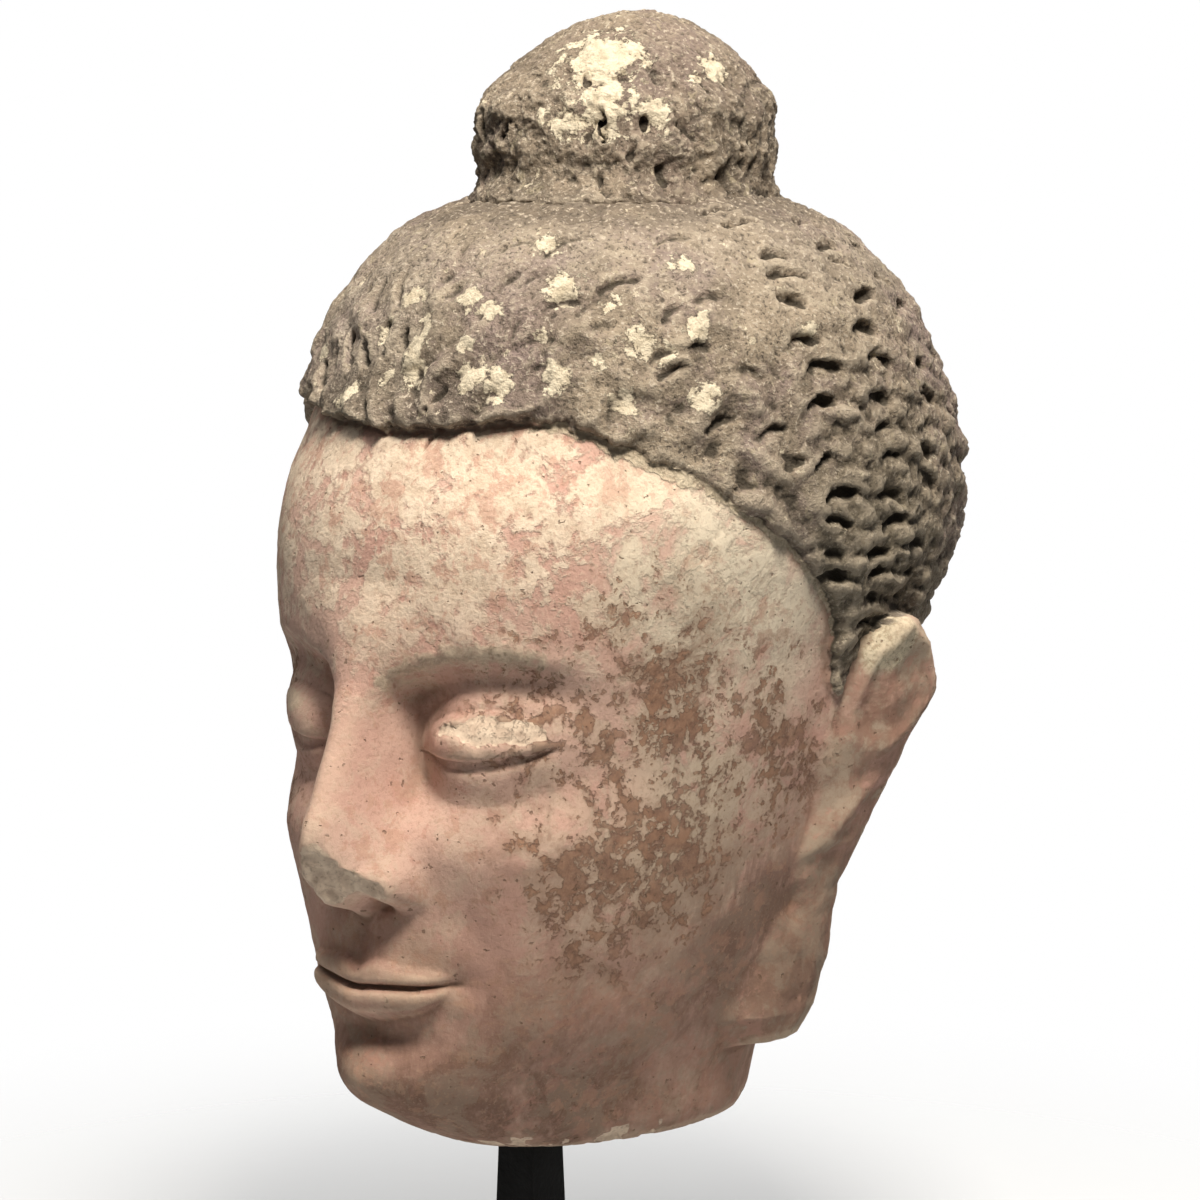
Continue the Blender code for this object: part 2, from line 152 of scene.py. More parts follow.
# The ear, at heights in parts: its back edge, its front edge and how far it stands from the middle plane.
EAR_HEIGHTS = (22, 30, 45, 64, 72, 88, 96, 107, 118, 131, 137, 141)
EAR_BACKS = (15, 18.5, 21, 23, 27, 32.5, 35, 38, 41, 36.5, 32, 27)
EAR_FRONTS = (-4, -7, -4, -1, 1, 5, 6, 8, 11.5, 13.5, 17, 22)
EAR_REACHES = (58, 61.5, 64, 66, 68, 73.5, 76.5, 80.5, 84, 86, 86, 85)

# The nose at heights above its base: how far it stands out, and its half width.
NOSE_LEVELS = (-2, 1, 5, 9, 15, 30, 46, 58, 84)
NOSE_REACHES = (0, 5, 17, 21, 20.5, 14.5, 9, 5, 0)
NOSE_WIDTHS = (9, 9.5, 10.5, 10.5, 9.5, 8, 7, 9, 17)

# Pale patches where the hair's dark paint is gone: x, y, height and radius in parts.
PALE_PATCHES = (
    (11, -13, 288, 11), (17, -19, 279, 7), (19, -22, 273, 7), (10, -24, 270, 6), (30, -13, 272, 4),
    (33, 9, 285, 4.5), (31, 2, 281, 2.5), (-6, -69, 225, 3), (36, -58, 228, 5), (2, -77, 214, 3.6),
    (3, -79, 207, 4), (-6, -79, 205, 3), (-20, -78, 199, 4), (21, -77, 206, 4), (29, -75, 205, 4.2),
    (41, -66, 206, 4), (57, -51, 215, 4.4), (65, -39, 219, 3.6), (70, -42, 201, 4), (56, -59, 200, 3.6),
    (54, -32, 233, 3.2), (13, -68, 225, 3.4), (20, -68, 223, 3.4), (2, -73, 220, 2.5), (-12, -74, 217, 3.4),
    (25, -51, 239, 3.6), (36, -66, 217, 2.7), (78, -9, 216, 3), (-42, -65, 209, 2.5), (-60, -40, 214, 4),
    (-48, 30, 236, 4), (30, 70, 225, 4), (-30, 86, 200, 3.4), (-8, 44, 276, 4), (16, -74, 214, 2.5),
    (47, -52, 224, 3), (50, -60, 210, 2), (62, -48, 212, 2.4),
)

# Single nicks in the worn hair over the forehead: turn, ring, length and depth in parts.
FRONT_NICKS = (
    (-39, 38.5, 8, 4.5), (-35, 43, 8, 2.8), (-29, 43, 9, 3.0), (-22.5, 42.5, 10, 3.2), (-15.5, 41, 10, 3.4),
    (-9, 41, 9, 2.8), (-2.5, 40.5, 8, 2.2), (-8, 49, 13, 2.4), (48, 62, 10, 2.6), (39, 66, 7, 1.4),
    (15, 53, 9, 1.2), (-16, 50, 9, 1.2), (58, 66, 8, 1.6), (62, 74, 8, 2.0), (68, 78, 8, 2.2),
    (2, 56, 7, 1.0), (30, 57, 8, 1.2),
)

# Cracks in the hair: turn, ring, length, width, depth and slant to the locks.
CRACKS = ((15.2, 33.2, 15, 1.0, 2.2, -10), (9, 53, 8, 0.7, 1.0, 60))

# Cracks and scratches in the paint: place and direction, then length, width and depth, in parts. A depth
# below zero raises the surface.
SKIN_MARKS = (
    ((13, -83, 190), (4, 0, 8), (11, 0.9, 1.3)), ((73.5, -41.5, 165), (3, 7, 10), (13, 0.8, 0.7)),
    ((69, -51, 156.5), (6, 11, 2.5), (15, 0.8, -0.3)), ((70, -48, 159), (6, 11, 3), (8, 0.7, -0.25)),
)


def smooth(start, end, value):
    """0 before start, 1 after end, and a smooth step between them."""
    share = np.clip((value - start) / (end - start), 0, 1)
    return share * share * (3 - 2 * share)


def mound(x, z, middle_x, middle_z, reach_x, reach_z):
    """A round hill of height 1."""
    return np.exp(-(((x - middle_x) / reach_x) ** 2) - ((z - middle_z) / reach_z) ** 2)


def clay_noise(x, y, z, size, seed):
    """Smooth hand-made unevenness, from about -1 to 1."""
    shift = Vector((seed * 17.3, seed * 5.1, seed * 9.7))
    flat = np.stack((x.ravel(), y.ravel(), z.ravel()), axis=1) / size
    return np.array([noise.noise(Vector(point) + shift) for point in flat]).reshape(x.shape)


def spaced(low, high, count, weight):
    """count values from low to high, closest together where weight is greatest."""
    fine = np.linspace(low, high, 4000)
    total = np.concatenate(([0], np.cumsum((weight(fine)[1:] + weight(fine)[:-1]) / 2)))
    return np.interp(np.linspace(0, total[-1], count), total, fine)


def column_angles(count):
    """Angles round the head from the face, in radians: closer together over the face and behind the ears."""

    def weight(angle):
        face = 0.9 * np.exp(-((angle / 0.85) ** 2))
        ears = 2.2 * np.exp(-(((np.abs(angle) - 1.92) / 0.22) ** 2))
        return 1 + face + ears

    return spaced(-np.pi, np.pi, count + 1, weight)[:-1]


def section_rows(count):
    """The sections at count places along the outline, by a smooth curve through them."""
    outline = np.stack((SECTIONS[:, 4], SECTIONS[:, 0]), axis=1)
    steps = np.linalg.norm(np.diff(outline, axis=0), axis=1)
    along = np.concatenate(([0], np.cumsum(steps)))

    def weight(place):
        height = np.interp(place, along, SECTIONS[:, 0])
        return 1 + 0.4 * mound(height, 0, 95, 0, 48, 1) + 0.5 * smooth(180, 200, height)

    places = spaced(0, along[-1], count, weight)
    slopes = np.gradient(SECTIONS, along, axis=0)
    slopes[-1, 0] = 0
    index = np.clip(np.searchsorted(along, places, side="right") - 1, 0, len(along) - 2)
    width = (along[index + 1] - along[index])[:, None]
    t = ((places - along[index]) / width[:, 0])[:, None]
    start, end = SECTIONS[index], SECTIONS[index + 1]
    pull_start, pull_end = slopes[index] * width, slopes[index + 1] * width
    return (
        (2 * t**3 - 3 * t**2 + 1) * start
        + (t**3 - 2 * t**2 + t) * pull_start
        + (3 * t**2 - 2 * t**3) * end
        + (t**3 - t**2) * pull_end
    )


def bare_head(angles, rows):
    """The egg of the head, before any carving, as arrays of x, y and z with a row for each section."""
    height, front, back, middle, half, round_front, round_back = (column[:, None] for column in rows.T)
    ahead = np.cos(angles)[None, :] > 0
    power = np.where(ahead, 2 / round_front, 2 / round_back)
    side = np.sin(angles)[None, :]
    fore = np.cos(angles)[None, :]
    x = half * np.sign(side) * np.abs(side) ** power
    reach = np.where(ahead, middle - front, back - middle)
    y = middle - reach * np.sign(fore) * np.abs(fore) ** power
    return x, y, height + 0 * x


def outward(x, y, rows):
    """Level direction that each point of the egg faces."""
    middle = rows[:, 3][:, None]
    half = rows[:, 4][:, None]
    deep = np.where(y < middle, middle - rows[:, 1][:, None], rows[:, 2][:, None] - middle)
    across, along = x / np.maximum(half, 1) ** 2, (y - middle) / np.maximum(deep, 1) ** 2
    length = np.maximum(np.hypot(across, along), 1e-9)
    return across / length, along / length


def brow_line(x):
    """Height of the brow's edge: it springs from the nose, arches and falls to the temple."""
    return BROW - 6 + 10 * np.sin(np.clip((np.abs(x) - 6) / 58, 0, 1) * np.pi) ** 0.8


def sockets(x, z):
    """The hollow between the brow's edge and the cheek, deepest beside the nose."""
    side = np.abs(x)
    below_brow = 1 - smooth(-7, 3, z - brow_line(x))
    above_cheek = smooth(EYE_LEVEL - 30, EYE_LEVEL - 7, z)
    across = smooth(3, 12, side) * (1 - smooth(38, 64, side))
    return -(7.0 + 4.5 * np.exp(-(((side - 14) / 8) ** 2))) * below_brow * above_cheek * across


def eyes(x, z):
    """Half-closed almond eyes that look down, under heavy upper lids with a crease over them."""
    out = np.abs(x) - EYE_SIDE
    up = z - EYE_LEVEL - 0.08 * out
    span = np.where(out > 0, 26, 20)
    ball = 6.4 * np.clip(1 - (out / span) ** 2 - (up / np.where(up > 0, 14, 16)) ** 2, 0, 1) ** 1.2
    curve = np.clip(1 - (out / 16.5) ** 2, 0, 1)
    lid_edge = -1.4 - 1.8 * curve
    lower_edge = -1.8 - 4.8 * curve
    across = 1 - smooth(13, 21, np.abs(out))
    upper = smooth(lid_edge - 0.5, lid_edge + 0.5, up) * (1 - smooth(2, 13, up))
    lower = (1 - smooth(lower_edge - 0.8, lower_edge + 0.2, up)) * smooth(-17, -9, up)
    crease_line = 0.8 + 8.6 * np.clip(1 - (out / 19) ** 2, 0, 1) ** 0.6
    crease = np.exp(-(((up - crease_line) / 1.2) ** 2)) * (1 - smooth(12, 18, np.abs(out)))
    return ball + across * (2.0 * upper + 1.0 * lower) - 1.1 * crease


def nose(x, z):
    """The nose's reach in front of the face: a straight ridge, round wings and nostrils."""
    side = np.abs(x)
    low = 1 - smooth(NOSE_BASE + 6, NOSE_BASE + 20, z)
    bow = 2.5 * np.exp(-((x / 4) ** 2)) - 1.5 * np.exp(-(((side - 8) / 3.5) ** 2))
    up = z - NOSE_BASE + low * bow
    height = np.interp(up, NOSE_LEVELS, NOSE_REACHES)
    width = np.interp(up, NOSE_LEVELS, NOSE_WIDTHS)
    ridge = height * np.exp(-np.abs(x / width) ** 2.3)
    flank = 0.26 * height * np.exp(-((x / (2.1 * width)) ** 2)) * smooth(NOSE_BASE + 4, NOSE_BASE + 26, z)
    wings = 8.5 * mound(side, z, 12.5, NOSE_BASE + 6.5, 5.4, 6.6) * smooth(NOSE_BASE - 3, NOSE_BASE + 3, z)
    groove = -1.2 * mound(side, z, 19.5, NOSE_BASE + 8, 2.6, 8)
    nostrils = -3 * mound(side, z, 7, NOSE_BASE + 0.5, 3, 2.2)
    return ridge + flank + wings + groove + nostrils


def mouth(x, z):
    """Full lips with clear edges, the upper one bowed, and the line between them with its ends tucked in."""
    side = np.abs(x)
    up = z - (MOUTH - 0.9 * np.exp(-((x / 6) ** 2)) + 0.9 * smooth(14, 26, side))
    width = np.clip(1 - (side / 25) ** 2, 0, 1)
    top = (6.4 - 1.5 * np.exp(-((x / 3) ** 2)) + 0.9 * np.exp(-(((side - 6) / 4) ** 2))) * width**0.5 + 0.3
    low = 9.0 * np.clip(1 - (side / 23) ** 2, 0, 1) ** 0.5 + 0.3
    share = np.clip(up / top, 0, 1)
    upper = (0.9 + 2.7 * np.sqrt(1 - share**2)) * (1 - smooth(0.65, 1.4, up / top)) * smooth(-0.4, 0.7, up)
    round_lip = np.sqrt(np.clip(1 - ((-up / low - 0.42) / 0.66) ** 2, 0, 1))
    lower = (0.5 + 4.2 * round_lip) * (1 - smooth(0.65, 1.3, -up / low)) * smooth(-0.4, 0.7, -up)
    parting = -2.2 * np.exp(-((up / 1.1) ** 2)) * (1 - smooth(22, 27, side))
    corners = -2.4 * mound(side, z, 26.5, MOUTH + 1, 4.5, 5) + 1.2 * mound(side, z, 34, MOUTH + 2, 6, 10)
    philtrum = 0.8 * mound(side, z, 4.8, NOSE_BASE - 7, 1.9, 6) - 1.3 * mound(x, z, 0, NOSE_BASE - 7, 3, 6)
    muzzle = 4.5 * mound(x, z, 0, MOUTH + 3, 27, 18)
    return (upper + lower) * smooth(0, 0.55, width) + parting + corners + philtrum + muzzle


def chin_and_cheeks(x, z):
    """The ball of the chin, the fold over it, full cheeks, the jaw and the soft crease beside the mouth."""
    side = np.abs(x)
    ball = 8.5 * mound(x, z, 0, CHIN + 14, 17, 10.5)
    fold = -2.4 * mound(x, z, 0, MOUTH - 14, 14, 4.5)
    cheek = 4.5 * mound(side, z, 42, NOSE_BASE + 12, 20, 22)
    crease = -1.4 * mound(side - 0.35 * (NOSE_BASE - z), z, 27, NOSE_BASE - 7, 5, 13)
    jaw = -4.0 * mound(side, z, 38, CHIN + 6, 13, 15)
    return ball + fold + cheek + crease + jaw


def face_relief(x, z):
    """How far all the features stand in front of the egg of the head."""
    return sockets(x, z) + eyes(x, z) + nose(x, z) + mouth(x, z) + chin_and_cheeks(x, z)


def ear_reach(y, z, edge):
    """How far the ear's face stands from the middle plane, and how much of a point lies in the ear."""
    back, front = np.interp(z, EAR_HEIGHTS, EAR_BACKS), np.interp(z, EAR_HEIGHTS, EAR_FRONTS)
    half = (back - front) / 2
    across = (y - (back + front) / 2) / half
    low, high = EAR_HEIGHTS[0], EAR_HEIGHTS[-1]
    ends = smooth(low - edge, low, z) * (1 - smooth(high - edge, high, z))
    inside = smooth(-1.6, -0.65, across) * (1 - smooth(0.97, 0.97 + edge / half, across)) * ends
    plane = np.interp(z, EAR_HEIGHTS, EAR_REACHES)
    lobe = 1 - smooth(66, 92, z)
    from_middle = np.hypot(across, (z - 120) / 20 * (1 - lobe))
    rim = 2.2 * np.exp(-(((from_middle - 0.84) / 0.22) ** 2)) * (1 - lobe)
    bowl = -3.6 * mound(y, z, 19, 108, 8, 13) - 1.2 * mound(y, z, 26, 124, 6, 7)
    fold = 1.6 * mound(y, z, 25, 106, 4, 14) + 1.9 * mound(y - 24 - 1.05 * (z - 92), z, 0, 84, 4.5, 11)
    flap = 1.8 * mound(y, z, 8.5, 101, 4.5, 8)
    hole = -3.2 * mound(y, z, 6, 60, 3.2, 5.5) * lobe
    bead = 1.2 * np.exp(-(((across - 0.45) / 0.32) ** 2)) * lobe
    slope = -7 * smooth(-0.1, -1.1, across) * (1 - 0.35 * lobe)
    return plane + rim + bowl + fold + flap + hole + bead + slope, inside


def hairline_height(angle):
    """Height of the hair's lower edge at an angle from the face, in parts."""
    return np.interp(np.degrees(angle), HAIRLINE_TURNS, HAIRLINE_HEIGHTS)


def turn_and_ring(x, y, z):
    """A point's turn round the crown's middle line and its ring, the angle from the face, in degrees."""
    up = z - CROWN_POLE
    return np.degrees(np.arctan2(x, up)), np.degrees(np.arctan2(np.hypot(x, up), -y))


def combed_locks(x, y, z, worn, rough):
    """Narrow wavy locks over the sides and the back, each a row of rough lumps from ring to ring."""
    turn, ring = turn_and_ring(x, y, z)
    wave = np.interp(ring, RINGS, range(len(RINGS))) * 2 * np.pi
    across = (turn - FIRST_LOCK) / LOCK_PITCH * 2 * np.pi
    wander = 1.0 * np.sin(wave + 0.8) + 1.3 * worn
    joined = smooth(JOINING_RING - 4, JOINING_RING + 4, ring)
    between = (1 - joined) * (0.5 + 0.5 * np.cos(across + wander)) ** 2
    between += joined * (0.5 + 0.5 * np.cos(across / 2 + wander)) ** 2
    lump = (1 - between) * (0.5 - 0.5 * np.cos(wave + 0.9 * worn))
    lump = lump * (0.9 + 0.9 * worn) * smooth(-0.7, 0.35, rough)
    return 1.6 * lump - (0.9 * (0.5 + 0.5 * np.cos(wave)) ** 2 + 0.12 + 0.5 * joined) * between - 0.3


def worn_locks(x, y, z, worn):
    """Broad soft waves that are left of the locks over the forehead."""
    turn, ring = turn_and_ring(x, y, z)
    lock = turn / 10.5 * 2 * np.pi + 1.7 * np.sin(ring / 16 * 2 * np.pi) + 1.6 * worn
    row = np.cos(ring / 8 * 2 * np.pi + 2 * worn)
    return 1.15 * np.sin(lock) * smooth(-0.5, 0.2, worn) + 0.35 * row - 0.2


def knot_locks(x, y, z, worn):
    """Upright locks round the topknot, lumpy and half worn away."""
    turn = np.arctan2(x, KNOT_MIDDLE - y)
    lock = turn * 25 + 0.9 * np.sin(z / 12 * 2 * np.pi) + 2.2 * worn
    row = np.cos((z - 262) / 13.5 * 2 * np.pi + 1.6 * worn)
    return (0.5 * np.cos(lock) + 0.45 * row + 1.1 * worn) * smooth(297, 280, z)


def chipped(x, y, z, rough):
    """The nose's broken tip, cut into the surface as two facets: the new places, and the break's mask."""
    bare = np.zeros_like(x)
    for facing, start in (
        (Vector((0.42, -0.80, -0.42)), Vector((2, -111.2, NOSE_BASE + 10))),
        (Vector((-0.45, -0.70, -0.55)), Vector((-2, -110.2, NOSE_BASE + 5))),
    ):
        facing = facing.normalized()
        past = (x - start.x) * facing.x + (y - start.y) * facing.y + (z - start.z) * facing.z
        near = (z > NOSE_BASE - 6) * (z < NOSE_BASE + 26) * (y < -95)
        cut = np.maximum(past + 0.9 * rough, 0) * near
        x, y, z = x - cut * facing.x, y - cut * facing.y, z - cut * facing.z
        bare = np.maximum(bare, smooth(0.05, 0.5, cut))
    return x, y, z, bare


def carved_head(angles, rows):
    """The head's surface in parts, down to the break, and its masks."""
    x, y, z = bare_head(angles, rows)
    out_x, out_y = outward(x, y, rows)
    coarse = clay_noise(x, y, z, 13, 1)
    medium = clay_noise(x, y, z, 5.5, 2)
    fine = clay_noise(x, y, z, 2.2, 4)
    grain = clay_noise(x, y, z, 1.3, 5)
    turn = np.arctan2(x, -y)
    degrees = np.degrees(turn)
    half = rows[:, 4][:, None]

    edge_wander = 1.3 * medium + 0.9 * fine + 0.5 * grain
    above = z - hairline_height(turn) + edge_wander * (0.35 + 0.65 * smooth(8, 24, degrees % 360))
    hair = smooth(-0.6 * STEP_WIDTH, 0.4 * STEP_WIDTH, above)
    knot = smooth(225, 235, z) * (1 - smooth(KNOT_HALF - 2, KNOT_HALF + 2, half))
    around, ring = turn_and_ring(x, y, z)
    forehead = 1 - smooth(75, 85, ring + 5 * coarse - 0.10 * (np.abs(around) - 45))
    crown = smooth(222, 240, z) * (1 - knot)
    behind = smooth(160, 174, ring)
    sides = combed_locks(x, y, z, coarse, medium) * (1 - 0.7 * crown) * (1 - 0.9 * behind)
    front = worn_locks(x, y, z, coarse) * (1 - 0.6 * crown)
    combed = 1 - forehead
    locks = (1 - knot) * (forehead * front + combed * sides) + knot * knot_locks(x, y, z, coarse)
    crumbs = (0.75 + 0.75 * knot) * medium + (0.55 + 0.25 * combed + 0.30 * knot) * fine
    crumbs += (0.36 + 0.12 * combed + 0.12 * knot) * grain
    dug = smooth(0.25, 0.6, fine + 0.5 * medium) * (0.3 + 0.5 * knot) * (1 - 0.75 * forehead * (1 - knot))
    crumbs = crumbs - 0.9 * dug * (1 - crown)

    side = np.degrees(np.abs(turn))
    thick = HAIR_THICKNESS - 1.4 * smooth(25, 60, degrees) * (1 - smooth(3, 16, above)) * (side < 120)
    lip = 0.6 * np.exp(-(((above - 4.5) / 3.5) ** 2)) * (1 - smooth(15, 45, degrees)) * (side < 75)
    lift = hair * (thick + lip + locks + crumbs)
    undercut = -1.1 * np.exp(-(((above + 1.6) / 1.1) ** 2)) * (1 - smooth(20, 50, degrees)) * (side < 75)
    slope = smooth(205, 240, z) * (1 - knot)
    upright = np.maximum(slope, smooth(284, 297, z))
    knot_turn = np.arctan2(x, KNOT_MIDDLE - y)
    overhang = smooth(0.35, 0.9, np.cos(knot_turn - 0.26))
    foot = np.exp(-(((half - 40.5) / 3) ** 2)) * (2.8 + 1.6 * coarse + medium) * (1 - 0.9 * overhang)
    foot = (foot - 0.9 * np.exp(-(((half - 50) / 5) ** 2))) * smooth(236, 243, z) * (1 - smooth(249, 255, z))
    roll = 4.6 * np.exp(-(((z - 249.5) / 4.5) ** 2)) * knot * overhang * (1 + 0.5 * coarse)
    roll += 4.0 * np.exp(-(((z - 276) / 12) ** 2)) * knot * smooth(0.3, 1, np.cos(knot_turn + 0.87))

    skin = 1 - hair
    ahead = smooth(-10, -45, y)
    brow = np.exp(-(((z - brow_line(x) - 1) / 5.5) ** 2)) * smooth(3, 9, x) * (1 - smooth(44, 58, x)) * ahead
    worn_brow = brow * (0.45 * fine + 0.35 * grain + 0.35 * medium)
    lid = mound(x, z, EYE_SIDE + 4, EYE_LEVEL + 4.5, 13, 3.6) * ahead
    lid_chip = smooth(0.44, 0.53, lid + 0.30 * medium + 0.20 * fine) * ahead
    # Painted highlight: cream paint on the far upper lid.
    far_lid_highlight = mound(x, z, -EYE_SIDE - 5, EYE_LEVEL + 5, 11, 4) * ahead
    pitted = 0.34 * coarse + 0.20 * medium + 0.09 * fine + 0.04 * grain
    forward = face_relief(x, z) * ahead * skin - (1.0 + 0.35 * fine) * lid_chip + worn_brow
    x = x + (lift + undercut * skin) * out_x * (1 - 0.9 * upright) + (0.35 * forward + skin * pitted) * out_x
    y = y + (lift + undercut * skin + skin * pitted) * out_y * (1 - 0.9 * upright)
    y = y - forward * (1 - 0.35 * np.abs(out_x))
    z = z + lift * 0.8 * upright + foot
    x = x + roll * out_x
    y = y + roll * out_y

    reach, inside = ear_reach(y, z, STEP_WIDTH)
    from_middle = np.abs(x)
    worn_ear = 0.45 * coarse + 0.4 * medium + 0.22 * fine + 0.1 * grain
    moved = inside * np.maximum(reach + worn_ear - from_middle, 0) * (from_middle > 25)
    x = np.sign(x) * (from_middle + moved)
    ear = smooth(0.2, 0.9, inside) * smooth(0.2, 1.5, moved)
    chipped_edge = smooth(6, -1, z) * np.clip(1.1 * medium + 0.7 * fine + 0.4 * coarse, 0, 1)
    x, y = x - 2.2 * chipped_edge * out_x, y - 2.2 * chipped_edge * out_y
    x, y, z, nose_break = chipped(x, y, z, fine + 0.5 * medium)

    pale = np.full_like(x, -1.0)
    for at_x, at_y, at_z, radius in PALE_PATCHES:
        away = np.sqrt((x - at_x) ** 2 + (y - at_y) ** 2 + (z - at_z) ** 2)
        pale = np.maximum(pale, 1 - away / (1.7 * radius))
    border = np.exp(-(((above + 1.6) / 2.6) ** 2)) * (y < 5) * (z > 130)
    masks = {
        "hair": hair * (1 - ear),
        "bare": np.maximum(np.maximum(nose_break, lid_chip), smooth(0.12, 0.3, chipped_edge)),
        "worn_edge_and_lid_highlight": np.maximum(0.75 * brow, far_lid_highlight),
        "border": border * smooth(8, 40, degrees) * (1 - ear),
        "pale": pale,
        "ear": ear,
    }
    return x, y, z, masks


def ring_at(middle_y, radius, height, turns):
    """A level circle of points at turns from its front."""
    return np.stack((radius * np.sin(turns), middle_y - radius * np.cos(turns), 0 * turns + height), axis=1)


def head_surface():
    """The head's whole closed surface in metres, with its masks, and the pin's socket below."""
    angles = column_angles(COLUMNS)
    x, y, z, masks = carved_head(angles, section_rows(ROWS)[:-1])
    skin = [np.stack(ring, axis=1) for ring in zip(x, y, z)]
    middle = -HEAD_BEHIND_POST / PART
    socket = (PIN_RADIUS + PIN_CLEARANCE) / PART
    end = (PIN_LENGTH + SEAT_GAP) / PART
    seat = ring_at(middle, (POST_TOP_WIDTH / 2**0.5 + SEAT_MARGIN) / PART, 0, angles)
    broken = []
    for step in range(1, BREAK_ROWS + 1):
        share = step / (BREAK_ROWS + 1)
        ring = skin[0] * (1 - share) + seat * share
        x, y, z = ring.T
        rough = 0.5 + 0.5 * clay_noise(x, y, z, 14, 3) + 0.16 * clay_noise(x, y, z, 4, 6)
        rough += 0.07 * clay_noise(x, y, z, 1.8, 8)
        ring[:, 2] += BREAK_DEPTH * rough * min(1, 8 * share) * min(1, 3 * (1 - share))
        broken.insert(0, ring)
    inner = [ring_at(middle, socket, end, angles), ring_at(middle, socket, 0, angles), seat]
    rings = inner + broken + skin
    first = np.array([(0, middle, end)])
    last = np.array([(0, SECTIONS[-1, 3], SECTIONS[-1, 0] + HAIR_THICKNESS * 0.75)])
    points = np.concatenate([first] + rings + [last]) * PART + np.array(SEAT)
    below = len(inner + broken) * COLUMNS
    layers = {"broken": np.concatenate(([0.0], np.ones(below), np.zeros(len(skin) * COLUMNS + 1)))}
    for name, mask in masks.items():
        low = -1.0 if name == "pale" else 0.0
        top = 1.0 if name == "hair" else low
        layers[name] = np.concatenate((np.full(below + 1, low), mask.ravel(), [top]))
    return grid_mesh(points, len(rings)), layers


def grid_mesh(points, ring_count):
    """A mesh over rings of COLUMNS points, closed by a fan at the first and the last point."""
    column = np.arange(COLUMNS)
    after = (column + 1) % COLUMNS
    low = 1 + np.arange(ring_count - 1)[:, None] * COLUMNS
    high = low + COLUMNS
    quads = np.stack((low + column, low + after, high + after, high + column), axis=2).reshape(-1, 4)
    top = 1 + (ring_count - 1) * COLUMNS
    first = np.stack((0 * column, 1 + after, 1 + column), axis=1)
    last = np.stack((top + column, top + after, np.full(COLUMNS, len(points) - 1)), axis=1)
    corners = np.concatenate((quads.ravel(), first.ravel(), last.ravel()))
    sizes = np.concatenate((np.full(len(quads), 4), np.full(2 * COLUMNS, 3)))
    mesh = bpy.data.meshes.new("head")
    mesh.vertices.add(len(points))
    mesh.vertices.foreach_set("co", points.ravel())
    mesh.loops.add(len(corners))
    mesh.loops.foreach_set("vertex_index", corners.astype(np.int32))
    mesh.polygons.add(len(sizes))
    mesh.polygons.foreach_set("loop_start", np.concatenate(([0], np.cumsum(sizes)[:-1])).astype(np.int32))
    mesh.update(calc_edges=True)
    mesh.validate()
    return mesh


